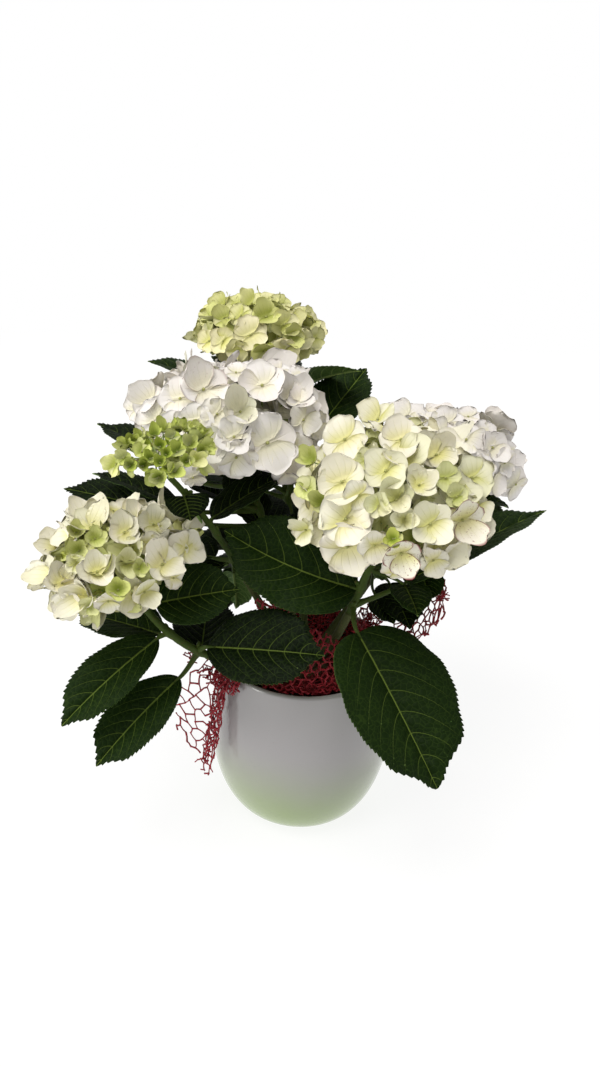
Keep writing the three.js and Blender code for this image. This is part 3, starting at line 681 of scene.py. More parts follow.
def leaf_materials():
    """Materials of a leaf's upper and lower side; u and v are shares along and across, w is mm across."""
    top = Graph("leaf_top", Roughness=0.5, Specular_IOR_Level=0.07)
    u, v, w = top.attribute("place")
    tone, length, width = top.attribute("tone")
    # mask of the inner leaves that are darkened with painted shade
    painted_shade = top.band(tone, 0.99, 1.0)
    luck = top.math("FRACT", tone)
    a = abs(v)
    gap = side_veins(top, u, v, w, width) * (length * (100.0 / LATERALS))
    thin = 0.62 - a * 0.42
    lateral = top.band(gap, thin, thin * 0.25) * top.band(a, 1.0, 0.55) * top.band(u, 0.01, 0.06)
    rib_width = 1.15 - u * 0.75
    rib = top.band(abs(w), rib_width, rib_width * 0.4)
    spot = top.combine((u + luck * 7.0) * (length * 100.0), w)
    netting = top.cells(spot, 0.24)
    grain = top.noise(spot, 1.4)
    base = top.mix(top.noise(spot, 0.045, 4.0), (10, 25, 4), (28, 46, 9))
    base = top.mix(grain * 0.35, base, (16, 34, 6))
    base = top.mix(luck * 0.35, base, (20, 38, 8))
    # painted shade: the inner leaves are made a much darker green, for the shade of the heads above them
    base = top.mix(painted_shade * 0.88, base, (2, 9, 0))
    base = top.mix(top.band(netting, 0.075, 0.015) * 0.22, base, (60, 80, 28))
    base = top.mix(lateral * 0.64, base, (92, 110, 46))
    base = top.mix(rib * 0.80, base, (108, 126, 54))
    base = top.mix(top.band(a, 0.975, 1.0, 0.30), base, (74, 94, 40))
    # more painted shade on the same inner leaves
    base = top.mix(painted_shade * 0.30, base, (10, 22, 4))
    height = top.band(netting, 0.0, 0.35) * 0.5 - (lateral + rib) * 0.5
    upper = top.dress(base, height + grain * 0.25, 0.80, 0.0007, 0.46 + grain * 0.20)

    under = Graph("leaf_under", Roughness=0.6, Specular_IOR_Level=0.16)
    u, v, w = under.attribute("place")
    luck, length, width = under.attribute("tone")
    spot = under.combine((u + luck) * (length * 100.0), w)
    netting = under.cells(spot, 0.24)
    lateral = under.band(side_veins(under, u, v, w, width), 0.07, 0.02)
    rib = under.band(abs(w), 1.4, 0.6)
    base = under.mix(under.noise(spot, 0.08, 4.0), (54, 80, 34), (76, 104, 48))
    base = under.mix(under.band(netting, 0.09, 0.02) * 0.35, base, (104, 128, 70))
    base = under.mix(under.math("MAXIMUM", lateral * 0.7, rib), base, (124, 146, 84))
    return [upper, under.dress(base, lateral + rib, 0.5, 0.0008)]


def green_stem_material():
    g = Graph("green_stem", Roughness=0.6, Specular_IOR_Level=0.2)
    where = g.place()
    t, around, _ = g.attribute("place")
    streak = g.noise(g.combine(around * 9.0, t * 2.0), 3.0)
    base = g.mix(g.noise(where, 60.0), (32, 48, 8), (54, 74, 18))
    base = g.mix(streak * 0.40, base, (88, 106, 36))
    base = g.mix(g.band(g.cells(where, 420.0, "F1"), 0.22, 0.10, 0.75), base, (92, 44, 34))
    return g.dress(base, streak, 0.4, 0.0004)


def bark_material(name, dark, light):
    g = Graph(name, Roughness=0.8)
    where = g.place()
    t, around, _ = g.attribute("place")
    stripe = g.noise(g.combine(around * 14.0, t * 3.0), 2.6, 5.0)
    base = g.mix(stripe, dark, light)
    base = g.mix(g.band(g.cells(where, 300.0, "F1"), 0.25, 0.12, 0.4), base, (120, 96, 66))
    return g.dress(base, stripe, 0.7, 0.0008)


# ---------------------------------------------------------------- florets
SEPAL_WAIST = 0.55                # how far out a sepal is widest, as a share of its length
LARGE_FLORET = 13.0               # a reach in mm above which a floret has the finer grid
LARGE_GRID = (7, 9)
SMALL_GRID = (6, 7)
DEEP_GRID = (5, 5)
# Form of a floret: rise of a sepal at its claw and at its tip, how far the
# four wrap into one bowl, how they dish across, waviness, and how far every
# second sepal stands up.
FORMS = {
    "open": (14, 2, 0.0, 0.30, 0.17, 0),
    "dish": (12, 36, 0.35, 0.30, 0.10, 0),
    "bowl": (14, 66, 0.80, 0.20, 0.06, 0),
    "cup": (38, 70, 0.80, 0.24, 0.07, 0),
    "fold": (22, 16, 0.1, 0.48, 0.18, 30),
    "droop": (2, -42, 0.0, -0.20, 0.14, 0),
}
Floret = namedtuple("Floret", "point normal across spin radius form green wine")


def sepal_grid(size, rises, wrap, dish, wave, lap, rng):
    """One sepal, x outwards, y across, z up, with the shares S outwards and T across of its points."""
    radius, rows, columns = size
    S, T = np.meshgrid(np.linspace(0, 1, rows), np.linspace(-1, 1, columns), indexing="ij")
    # the bent line from claw to tip, with a notched and uneven outer edge
    fine = np.linspace(0, 1, 41)
    slope = np.radians(rises[0] + (rises[1] - rises[0]) * fine)
    out = np.concatenate([[0], np.cumsum((np.cos(slope[1:]) + np.cos(slope[:-1])) / 80)])
    high = np.concatenate([[0], np.cumsum((np.sin(slope[1:]) + np.sin(slope[:-1])) / 80)])
    length = radius * rng.uniform(0.92, 1.08) / max(out.max(), 0.45)
    reach = S * (1 - 0.27 * S * np.abs(T) ** 2.2)
    reach = reach * (1 + rng.uniform(-0.03, 0.06) * (1 - np.abs(T)) ** 2 * S ** 3)
    reach = reach * (1 + 0.035 * np.sin(4.2 * T + rng.uniform(0, 6.28)) * S ** 3)
    x = length * np.interp(reach, fine, out) + 0.04 * radius
    z = length * np.interp(reach, fine, high)
    body = np.sqrt(np.maximum(1 - ((S - SEPAL_WAIST) / 0.60) ** 2, 0.05))
    y = radius * rng.uniform(0.74, 0.88) * body * T * (1 - 0.16 * S ** 6 * T ** 2)
    # wrapped round the floret's middle
    turn = y / np.maximum(x, 0.42 * radius)
    wrapped_x = x * np.cos(turn)
    wrapped_y = np.maximum(x, 0.25 * radius) * np.sin(turn)
    x = x + (wrapped_x - x) * wrap
    y = y + (wrapped_y - y) * wrap + rng.uniform(-0.10, 0.10) * x * S
    # creased along the middle, one side lower than the next sepal, with a wavy rim
    z = z + radius * dish * np.abs(T) ** 1.4 * body * 0.42
    z = z + radius * lap * T * body * S
    phase = rng.uniform(0, 6.28, 3)
    ruffle = np.sin(2.4 * T + phase[0]) * 0.5 + np.sin(5.0 * T + phase[1]) * 0.26 * np.abs(T)
    z = z + radius * wave * S ** 1.8 * ruffle
    z = z + radius * wave * 0.45 * T ** 2 * np.sin(5.5 * S + phase[2]) * S
    return x, y, z, S, T


def add_floret(skin, floret, fine, rng):
    """Four overlapping sepals round the floret's middle."""
    radius, normal = floret.radius, floret.normal
    side = unit(floret.across - normal * np.dot(floret.across, normal))
    other = np.cross(normal, side)
    rows, columns = (LARGE_GRID if radius > LARGE_FLORET else SMALL_GRID) if fine else DEEP_GRID
    thickness = 0.010 * radius + 0.06
    claw, tip, wrap, dish, wave, stand = FORMS[floret.form]
    turned = rng.choice([-1.0, 1.0])
    for i in range(4):
        second = i % 2
        tilt = rng.normal(0, 6) + stand * second
        rises = (claw + tilt * 0.6, tip + tilt + rng.normal(0, 8))
        size = (radius * (1.0 if second else 0.95), rows, columns)
        lap = turned * rng.uniform(0.06, 0.16)
        x, y, z, S, T = sepal_grid(size, rises, wrap, dish * rng.uniform(0.5, 1.4), wave, lap, rng)
        z = z + radius * (0.05 if second else -0.03) * (0.4 + S)
        angle = math.radians(floret.spin) + i * math.pi / 2 + rng.uniform(-0.12, 0.12)
        c, d = math.cos(angle), math.sin(angle)
        x, y = x * c - y * d, x * d + y * c
        top = floret.point + x[..., None] * side + y[..., None] * other + z[..., None] * normal
        place = np.stack([S, T, np.full_like(S, rng.uniform())], -1)
        tone = vec(floret.green + rng.uniform(-0.05, 0.05), floret.wine, rng.uniform())
        skin.add_plate(top, top - normal * thickness, place, tone, inward=True)


# Flower heads.  Counts are of the florets that are dealt out evenly where no
# seen floret lies: outer ones, deeper ones and a green core.  Then their size,
# greenness and its spread, how far the florets lean, the head's finish, lift of
# the dome, how low it reaches (degrees), how likely each form is, the forks of
# the head, its seen outline (middle and half size in picture pixels), how much
# greener the deeper florets are, and the spread of their sizes.
Head = namedtuple("Head", "outer deep core size green spread lean slot lift reach forms nodes outline "
                  "inner vary", defaults=(0.16, (0.86, 1.10)))
HEADS = {
    "right": Head(58, 44, 26, 18.0, 0.24, 0.14, 0.20, "blossom_cream", -2, 104,
                  dict(open=0.35, dish=0.4, fold=0.15, bowl=0.1), 9, (391, 492, 97, 86), inner=0.36),
    "back": Head(50, 40, 22, 17.5, 0.04, 0.04, 0.24, "blossom_white", 0, 106,
                 dict(open=0.5, fold=0.33, dish=0.17), 9, (450, 452, 73, 54)),
    "mid": Head(52, 44, 24, 20.0, 0.05, 0.06, 0.24, "blossom_white", -4, 108,
                dict(open=0.42, fold=0.33, dish=0.25), 9, (225, 417, 100, 56)),
    "top": Head(84, 46, 26, 12.0, 0.50, 0.12, 0.30, "blossom_lime", -3, 106,
                dict(open=0.45, fold=0.4, dish=0.15), 9, (258, 327, 67, 36)),
    "small": Head(30, 12, 0, 6.2, 0.70, 0.20, 0.65, "blossom_green", -4, 84,
                  dict(cup=0.35, bowl=0.35, fold=0.3), 8, (161, 452, 55, 31), vary=(0.6, 1.25)),
    "left": Head(50, 46, 26, 14.5, 0.10, 0.10, 0.24, "blossom_cream", -6, 92,
                 dict(bowl=0.45, dish=0.35, cup=0.2), 9, (115, 557, 90, 58), inner=0.50),
}

# Florets seen from the camera.  Each has its picture place (x, y) and reach in
# picture pixels, how far it faces right and up of the camera, the turn of its
# sepals in degrees, its greenness, and where they aren't the usual ones its
# form and how much wine red it has at its rim.
Seen = namedtuple("Seen", "x y reach turn lift spin green form wine", defaults=("open", 0.0))
SEEN = {
    "left": [
        (81, 511, 23, -0.2, 1.2, 45, 0.06, "bowl"), (51, 546, 18, -0.3, 0.7, 45, 0.08, "bowl"),
        (124, 533, 17, 0.1, 0.45, 40, 0.12, "bowl"), (153, 525, 16, 0.2, 0.5, 10, 0.20, "dish"),
        (186, 548, 18, 0.35, 0.2, 60, 0.10, "dish"), (162, 565, 19, 0.3, 0.5, 55, 0.12, "fold"),
        (97, 572, 18, 0.05, 0.35, 30, 0.05, "bowl"), (62, 583, 18, 0.1, 0.45, 35, 0.06, "bowl"),
        (37, 577, 15, -0.6, 0.1, 20, 0.10), (66, 604, 14, -0.3, -0.4, 40, 0.08),
        (95, 539, 11, 0.1, 0.2, 20, 0.62, "cup"), (79, 551, 10, -0.1, 0.1, 60, 0.68, "cup"),
        (126, 564, 14, 0.3, 0.1, 15, 0.42, "bowl"), (139, 569, 9, 0.2, 0.1, 10, 0.62, "cup"),
        (118, 590, 11, 0.0, 0.1, 10, 0.72, "cup"), (144, 592, 14, 0.5, -0.2, 30, 0.25, "fold"),
        (108, 601, 13, 0.1, -0.9, 0, 0.12), (89, 605, 10, 0.0, -0.3, 50, 0.62, "dish"),
        (113, 511, 9, 0.6, 0.6, 0, 0.08), (76, 533, 9, 0.0, 0.4, 0, 0.60, "cup"),
        (75, 564, 10, 0.0, 0.1, 40, 0.40, "dish"), (173, 578, 11, 0.7, -0.4, 0, 0.08),
        (149, 543, 12, 0.2, -0.2, 0, 0.16), (66, 514, 13, -0.3, 0.7, 20, 0.08, "bowl"),
    ],
    "right": [
        (345, 440, 23, -0.25, 0.4, 25, 0.10), (378, 420, 20, -0.2, 0.9, 50, 0.22, "fold"),
        (401, 440, 22, 0.0, 0.5, 20, 0.06, "dish"), (436, 455, 20, 0.15, 0.4, 45, 0.12, "bowl"),
        (386, 471, 21, -0.05, 0.35, 40, 0.26, "dish"), (342, 482, 24, -0.15, 0.3, 15, 0.22, "dish"),
        (359, 495, 15, 0.0, -0.3, 30, 0.10), (396, 500, 17, 0.05, 0.3, 35, 0.40, "bowl"),
        (419, 485, 16, 0.2, 0.4, 30, 0.22, "bowl"), (471, 478, 21, 0.5, 0.3, 35, 0.36),
        (445, 478, 14, 0.3, 0.2, 10, 0.55, "dish"), (430, 524, 21, 0.25, 0.1, 40, 0.24, "dish"),
        (462, 520, 20, 0.5, -0.15, 20, 0.08, "fold", 0.8), (477, 508, 15, 0.7, 0.1, 60, 0.14),
        (457, 550, 14, 0.4, -0.8, 45, 0.04), (346, 519, 25, -0.1, 0.15, 45, 0.14),
        (347, 546, 26, -0.1, -0.5, 20, 0.06), (374, 545, 16, 0.3, -0.4, 10, 0.06),
        (308, 488, 13, -0.6, 0.2, 30, 0.62, "dish"), (313, 462, 12, -0.5, 0.5, 30, 0.66, "cup"),
        (323, 503, 11, -0.2, 0.1, 60, 0.72, "cup"), (306, 530, 14, -0.7, -0.2, 30, 0.30, "fold"),
        (378, 506, 12, 0.0, 0.1, 70, 0.48, "dish"), (393, 539, 9, 0.0, 0.1, 10, 0.90, "cup"),
        (401, 553, 18, 0.1, -0.5, 20, 0.06, "fold", 1.0), (396, 571, 14, 0.0, -1.0, 45, 0.0, "droop"),
        (433, 560, 15, 0.2, -0.7, 30, 0.08), (404, 520, 12, 0.1, 0.1, 70, 0.35, "bowl"),
        (456, 497, 12, 0.4, 0.2, 30, 0.58, "dish"), (366, 460, 11, -0.1, 0.3, 10, 0.50, "dish"),
    ],
    "back": [
        (407, 417, 20, 0.0, 0.9, 45, 0.03), (446, 424, 17, 0.1, 0.6, 20, 0.05),
        (440, 437, 17, 0.0, 0.5, 40, 0.10), (466, 440, 18, 0.2, 0.4, 60, 0.03),
        (484, 433, 13, 0.5, 0.5, 20, 0.0), (492, 448, 16, 0.6, 0.3, 50, 0.0, "dish"),
        (504, 463, 14, 0.8, 0.1, 20, 0.0), (508, 451, 10, 1.0, 0.2, 0, 0.0),
        (515, 484, 17, 0.7, -0.4, 40, 0.0, "droop"), (481, 465, 15, 0.5, 0.3, 30, 0.05),
        (492, 480, 15, 0.7, -0.1, 60, 0.02), (386, 402, 11, -0.3, 0.7, 20, 0.02),
        (468, 417, 11, 0.3, 0.8, 10, 0.0), (383, 400, 13, -0.2, 0.6, 20, 0.02),
    ],
    "mid": [
        (203, 390, 25, 0.3, 0.5, 35, 0.0, "dish", 0.3), (151, 402, 17, -0.5, 0.4, 30, 0.02, "fold"),
        (137, 409, 13, -0.7, 0.2, 20, 0.03), (158, 418, 20, -0.4, 0.2, 45, 0.02),
        (180, 399, 19, -0.1, 0.4, 15, 0.03), (262, 386, 23, 0.05, 0.5, 20, 0.03, "dish"),
        (291, 398, 21, 0.3, 0.5, 45, 0.06, "bowl"), (303, 400, 17, 0.6, 0.4, 30, 0.03),
        (297, 377, 12, 0.2, 0.9, 45, 0.0), (316, 425, 15, 0.9, -0.1, 30, 0.0),
        (303, 420, 16, 0.5, 0.1, 60, 0.10), (240, 412, 17, 0.1, 0.3, 35, 0.36, "bowl"),
        (234, 437, 18, 0.0, 0.3, 30, 0.10, "dish"), (236, 457, 20, 0.1, -0.5, 45, 0.08),
        (267, 443, 27, 0.25, 0.1, 30, 0.0), (291, 452, 20, 0.5, -0.2, 30, 0.0, "open", 0.25),
        (288, 472, 16, 0.4, -0.8, 20, 0.0, "droop", 0.3), (189, 385, 12, 0.0, 0.4, 20, 0.0),
        (277, 373, 14, 0.1, 0.8, 45, 0.0), (236, 373, 12, 0.0, 0.7, 0, 0.12),
        (250, 369, 10, 0.0, 0.9, 45, 0.0), (213, 446, 16, -0.1, 0.1, 10, 0.24, "dish"),
        (193, 477, 13, 0.0, -0.8, 20, 0.0, "droop"), (176, 428, 16, -0.2, 0.0, 30, 0.04),
        (217, 414, 15, 0.0, 0.1, 50, 0.16), (196, 420, 16, -0.1, 0.0, 10, 0.06),
    ],
    "top": [
        (250, 335, 17, 0.05, 0.2, 30, 0.10), (219, 303, 13, -0.4, 0.8, 45, 0.50, "fold"),
        (208, 313, 14, -0.7, 0.5, 20, 0.45), (209, 341, 12, -0.5, 0.1, 30, 0.16, "dish"),
        (223, 341, 13, -0.2, 0.1, 50, 0.22, "dish"), (237, 305, 13, -0.1, 0.8, 20, 0.48),
        (252, 304, 12, 0.0, 0.8, 50, 0.50, "fold"), (267, 299, 11, 0.1, 1.0, 10, 0.46),
        (281, 304, 11, 0.4, 0.8, 40, 0.52), (266, 317, 14, 0.1, 0.4, 20, 0.62, "fold"),
        (241, 316, 12, -0.1, 0.5, 60, 0.36), (284, 325, 14, 0.3, 0.3, 35, 0.46, "dish"),
        (283, 351, 14, 0.3, -0.4, 45, 0.20), (265, 351, 13, 0.0, -0.5, 10, 0.62, "fold"),
        (301, 315, 10, 0.4, 0.7, 30, 0.42), (310, 323, 11, 0.8, 0.5, 50, 0.46),
        (303, 339, 11, 0.5, -0.1, 30, 0.38), (314, 338, 11, 0.9, 0.0, 10, 0.44),
        (237, 350, 11, 0.0, -0.5, 30, 0.34), (225, 320, 11, -0.3, 0.4, 20, 0.56, "fold"),
        (292, 336, 11, 0.4, 0.1, 10, 0.58, "fold"),
    ],
    "small": [
        (133, 433, 7, 0.0, 0.7, 45, 0.60, "cup"), (118, 445, 9, -0.4, 0.5, 20, 0.62, "cup"),
        (131, 444, 8, 0.1, 0.4, 50, 0.70, "cup"), (116, 464, 12, -0.6, -0.2, 60, 0.22, "fold"),
        (130, 466, 7, 0.0, 0.2, 30, 0.75, "cup"), (143, 466, 7, 0.1, 0.2, 20, 0.80, "cup"),
        (142, 452, 9, 0.0, 0.5, 70, 0.50, "fold"), (155, 436, 8, -0.1, 0.6, 10, 0.70, "cup"),
        (163, 432, 9, 0.0, 0.8, 40, 0.55, "cup"), (172, 438, 8, 0.1, 0.5, 30, 0.80, "fold"),
        (160, 447, 7, 0.0, 0.4, 15, 0.90, "cup"), (160, 463, 7, 0.0, 0.3, 45, 0.85, "cup"),
        (159, 477, 9, -0.1, -0.1, 20, 0.65, "cup"), (175, 472, 9, 0.1, 0.2, 50, 0.60, "cup"),
        (178, 428, 8, 0.0, 0.9, 20, 0.55, "fold"), (187, 430, 8, 0.1, 0.8, 60, 0.50, "cup"),
        (177, 452, 9, 0.0, 0.4, 35, 0.75, "fold"), (196, 432, 9, 0.2, 0.7, 15, 0.50, "fold"),
        (204, 437, 9, 0.4, 0.6, 45, 0.48, "cup"), (206, 447, 9, 0.5, 0.3, 25, 0.50, "fold"),
        (201, 452, 7, 0.2, 0.1, 30, 0.70, "cup"), (196, 461, 10, 0.2, 0.2, 40, 0.32, "cup"),
        (186, 462, 7, 0.1, 0.2, 10, 0.75, "cup"), (166, 455, 6, 0.0, 0.3, 55, 0.90, "cup"),
        (124, 458, 8, -0.2, 0.2, 30, 0.55, "fold"), (150, 459, 7, 0.0, 0.3, 20, 0.80, "cup"),
        (190, 445, 8, 0.1, 0.4, 50, 0.65, "cup"), (168, 468, 6, 0.0, 0.2, 10, 0.85, "cup"),
    ],
}


def sepal_material(name, whites, greens):
    """whites and greens are (tip, heart) colour pairs for pale and green florets."""
    g = Graph(name, Roughness=0.55, Specular_IOR_Level=0.25)
    s, t, luck = g.attribute("place")
    green, wine, shade = g.attribute("tone")
    where = g.place()
    tip = g.mix(g.band(green, 0.0, 1.0), whites[0], greens[0])
    heart = g.mix(g.band(green, 0.0, 1.0), whites[1], greens[1])
    reach = s + g.noise(where, 90.0, 2.0) * 0.25
    base = g.mix(g.band(reach, 0.12, 0.80), heart, tip)
    vein = g.math("PINGPONG", t * (3.4 - s) + luck * 3.0, 0.5)
    vein = g.band(vein, 0.12, 0.0) * g.band(s, 1.0, 0.3)
    base = g.mix(vein * 0.24, base, heart)
    mottle = g.noise(where, 240.0)
    base = g.mix(mottle * 0.10, base, heart)
    base = g.mix(g.band(shade, 0.5, 1.0) * 0.25, base, (238, 226, 214))
    rim = g.math("MAXIMUM", g.band(s, 0.88, 0.99), g.band(abs(t), 0.90, 0.99))
    rim = g.math("MAXIMUM", rim, g.band(g.noise(where, 700.0, 2.0), 0.62, 0.72, 0.8))
    base = g.mix(rim * wine, base, (128, 58, 62))
    return g.dress(base, vein + mottle * 0.8, 0.50, 0.0005)


def bead_material():
    g = Graph("floret_eye", Roughness=0.4)
    where = g.place()
    base = g.mix(g.noise(where, 900.0, 2.0), (190, 192, 124), (128, 128, 64))
    return g.dress(base, g.cells(where, 700.0), 0.5, 0.0003)


def pedicel_material():
    g = Graph("pedicel", Roughness=0.55)
    where = g.place()
    base = g.mix(g.noise(where, 120.0), (120, 142, 66), (164, 180, 110))
    base = g.mix(g.band(g.noise(where, 260.0, 2.0), 0.50, 0.66, 0.6), base, (128, 66, 52))
    return g.dress(base, g.noise(where, 500.0, 2.0), 0.3, 0.0003)


# ---------------------------------------------------------------- flower heads
DOME_SEAT = 14.0                  # height of the dome's middle above the neck
SEEN_SWELL = 1.03                 # a seen floret's reach, against the one in the picture
BOWL_SINK = 0.50                  # how deep a bowl or cup sits in the dome, in its own radii
FLAT_SINK = 0.22
OUTLINE_REACH = 0.82              # share of a floret's reach that keeps within its head's outline
PULL = 0.93                       # how much closer each step draws a floret
PULL_STEPS = 10
GOLDEN_ANGLE = math.pi * (3 - math.sqrt(5))
OUTER_SINK = 0.60
# Hidden florets below the outer ones: share of the dome's size, growth,
# reach from the top in degrees, first turn.
DEEP_LAYER = (0.66, 0.85, 98, 1.7)
CORE_LAYER = (0.42, 0.9, 100, 0.6)
CORE_GREEN = 0.45
OUTER_GAP = 0.25                  # room round a seen floret, in radii of the dealt one
NO_GAP = -9.0


def seen_florets(name, shoot, centre, axes):
    """The seen florets of a head, on its dome where the camera's lines of sight meet it."""
    up, side, other = axes
    R, H = shoot["radius"], shoot["height"]
    depth = np.dot(centre - EYE, AHEAD)
    florets = []
    for seen in (Seen(*row) for row in SEEN[name]):
        line = sight(seen.x, seen.y)
        radius = SEEN_SWELL * seen.reach * depth / FOCAL_PIXELS
        sink = BOWL_SINK if seen.form in ("bowl", "cup") else FLAT_SINK
        stretch = np.stack([side / R, other / R, up / H]) / (1 - sink * radius / R)
        start = stretch @ (EYE - centre)
        step = stretch @ line
        a, b, c = step @ step, start @ step, start @ start - 1
        point = EYE + line * ((-b - math.sqrt(max(b * b - a * c, 0.0))) / a)
        point = centre + np.linalg.inv(stretch) @ unit(stretch @ (point - centre))
        normal = unit(-line + seen.turn * RIGHT + seen.lift * RISE)
        florets.append(Floret(point, normal, RIGHT, seen.spin, radius, seen.form, seen.green, seen.wine))
    return florets


def pull_in(point, centre, radius, outline):
    """Draws a floret towards the middle of its head until it keeps within the head's seen outline."""
    middle_x, middle_y, half_width, half_height = outline
    for _ in range(PULL_STEPS):
        x, y, scale = picture(point)
        reach = OUTLINE_REACH * radius * scale
        across, down = (x - middle_x) / (half_width - reach), (y - middle_y) / (half_height - reach)
        if math.hypot(across, down) <= 1:
            break
        point = centre + (point - centre) * PULL
    return point


def make_head(name, shoot, looks, materials, seed):
    rng = np.random.default_rng(seed)
    up = unit(vec(*shoot["axis"]))
    side = unit(np.cross(vec(0, 1, 0), up))
    other = np.cross(up, side)
    neck = vec(*shoot["neck"])
    R, H = shoot["radius"], shoot["height"]
    centre = neck + up * (DOME_SEAT + looks.lift)
    viewer = unit(EYE - centre)

    def dome(polar, azimuth, scale):
        """A point of the dome and the way it faces there."""
        reach = np.sin(polar) * (np.cos(azimuth) * side + np.sin(azimuth) * other)
        point = centre + scale * (R * reach + H * np.cos(polar) * up)
        return point, unit(reach / R + np.cos(polar) * up / H)

    sepals = Skin()
    beads = Skin()
    stalks = Skin()
    # rays of the head, from the neck to the forks that carry the florets' stalks
    forks = []
    for k in range(looks.nodes):
        polar = 0.25 + 1.15 * ((k % 3) + 0.5) / 3
        forks.append(dome(polar, k * 2.4, 0.46)[0])
        start = neck - up
        t = np.linspace(0, 1, 8)
        path = on_curve([start, start + up * DOME_SEAT * 0.8, forks[-1]], t)
        stalks.add(*tube(path, (2.0 - 0.8 * t) * shoot["radii"][1] / 3.8, 7))
    forks = np.array(forks)
    florets = seen_florets(name, shoot, centre, (up, side, other))
    places = np.array([floret.point for floret in florets])
    reaches = np.array([floret.radius for floret in florets])
    names = list(looks.forms)
    odds = np.array([looks.forms[form] for form in names])

    def deal(count, layer, greener, gap):
        """Deals florets out evenly over a layer, but none that crowds a seen one."""
        scale, grow, limit, first = layer
        for i in range(count):
            cover = (i + 0.5) / count
            polar = math.acos(1 - (1 - math.cos(math.radians(limit))) * cover) + rng.uniform(-0.05, 0.05)
            azimuth = i * GOLDEN_ANGLE + first + rng.uniform(-0.15, 0.15)
            radius = looks.size * grow * rng.uniform(*looks.vary)
            point, lean = dome(max(polar, 0.02), azimuth, scale - rng.uniform(0, 0.06))
            form = names[rng.choice(len(names), p=odds / odds.sum())]
            normal = unit(lean + rng.normal(0, looks.lean, 3) + vec(0, -0.04, 0.08))
            green = np.clip(looks.green + greener + rng.normal(0, looks.spread), 0, 1)
            spin = rng.uniform(0, 90)
            point = pull_in(point, centre, radius, looks.outline)
            near = np.linalg.norm(places - point, axis=1) < 0.80 * reaches + gap * radius
            if np.dot(lean, viewer) > 0 and near.any():
                continue
            florets.append(Floret(point, normal, vec(0.31, 0.87, 0.4), spin, radius, form, green, 0.0))

    deal(looks.outer, (1 - OUTER_SINK * looks.size / R, 1.0, looks.reach, 0.0), 0.0, OUTER_GAP)
    outer = len(florets)
    deal(looks.deep, DEEP_LAYER, looks.inner, NO_GAP)
    deal(looks.core, CORE_LAYER, CORE_GREEN, NO_GAP)
    t = np.linspace(0, 1, 6)
    for number, floret in enumerate(florets):
        point, normal, radius = floret.point, floret.normal, floret.radius
        add_floret(sepals, floret, number < outer, rng)
        if number < outer:
            beads.add(*ball(point + normal * (0.06 * radius + 0.3), 0.05 * radius + 0.35, 0.8, normal))
        fork = forks[np.argmin(np.linalg.norm(forks - point, axis=1))]
        path = on_curve([fork, (fork + point) / 2 - normal * radius * 0.25, point - normal * 0.4], t)
        stalks.add(*tube(path, (0.95 - 0.35 * t) * min(1, 0.5 + radius / 30), 5))
    for skin, part, material in [(sepals, "sepals", "sepal"), (beads, "eyes", "bead"),
                                 (stalks, "stalks", "pedicel")]:
        skin.piece("head_%s_%s" % (name, part), [materials[material]], "head_" + name, looks.slot)


# ---------------------------------------------------------------- shoots
BUD_LENGTH = 1.7                  # a resting bud's length, against its width
BUD_SIZE = 2.0


def make_shoot(name, shoot, leaves, materials, seed):
    """The leafy shoot and the bare, barked stem below its cut."""
    rng = np.random.default_rng(seed)
    curve = shoot_curve(shoot)
    wide, thin = shoot["radii"]
    green = Skin()
    t = np.linspace(shoot["cut"], 1, 60)
    swell = sum(0.26 * np.exp(-((t - at) / 0.018) ** 2) for at in sorted({leaf.at for leaf in leaves}))
    radii = (wide + (thin - wide) * t) * (0.86 + swell)
    green.add(*tube(on_curve(curve, t), radii, 16, 1 + 0.03 * rng.normal(size=(60, 16))))
    blades = Skin()
    for row, leaf in enumerate(leaves):
        stalk, reach, foot = leaf_stalk(leaf, curve)
        green.add(*tube(stalk, reach, 10))
        # the inner leaves get a darker green as painted shade
        add_blade(blades, leaf, foot, row in PAINTED_SHADE_LEAVES.get(name, ()), rng)
        # a resting bud in the leaf's axil
        out = direction(leaf.stalk[0], max(leaf.stalk[1], 0) + 45)
        green.add(*ball(on_curve(curve, leaf.at) + out * (wide + 0.6), BUD_SIZE, BUD_LENGTH, out))
    green.piece("shoot_%s_stem" % name, [materials["green"]], "leaves_" + name, "green_stem")
    blades.piece("shoot_%s_leaves" % name, materials["leaf"], "leaves_" + name, "leaf")

    bark = Skin()
    t = np.linspace(0, shoot["cut"], 50)
    ridges = 0.05 * np.sin(np.arange(18)[None, :] * 3.1 + 5 * t[:, None] * 10)
    relief = 1 + ridges + 0.03 * rng.normal(size=(50, 18))
    bark.add(*tube(on_curve(curve, t), (wide + (thin - wide) * t) * 0.92, 18, relief))
    bark.piece("stem_%s_bark" % name, [materials["bark"]], "stem_" + name, "green_stem")


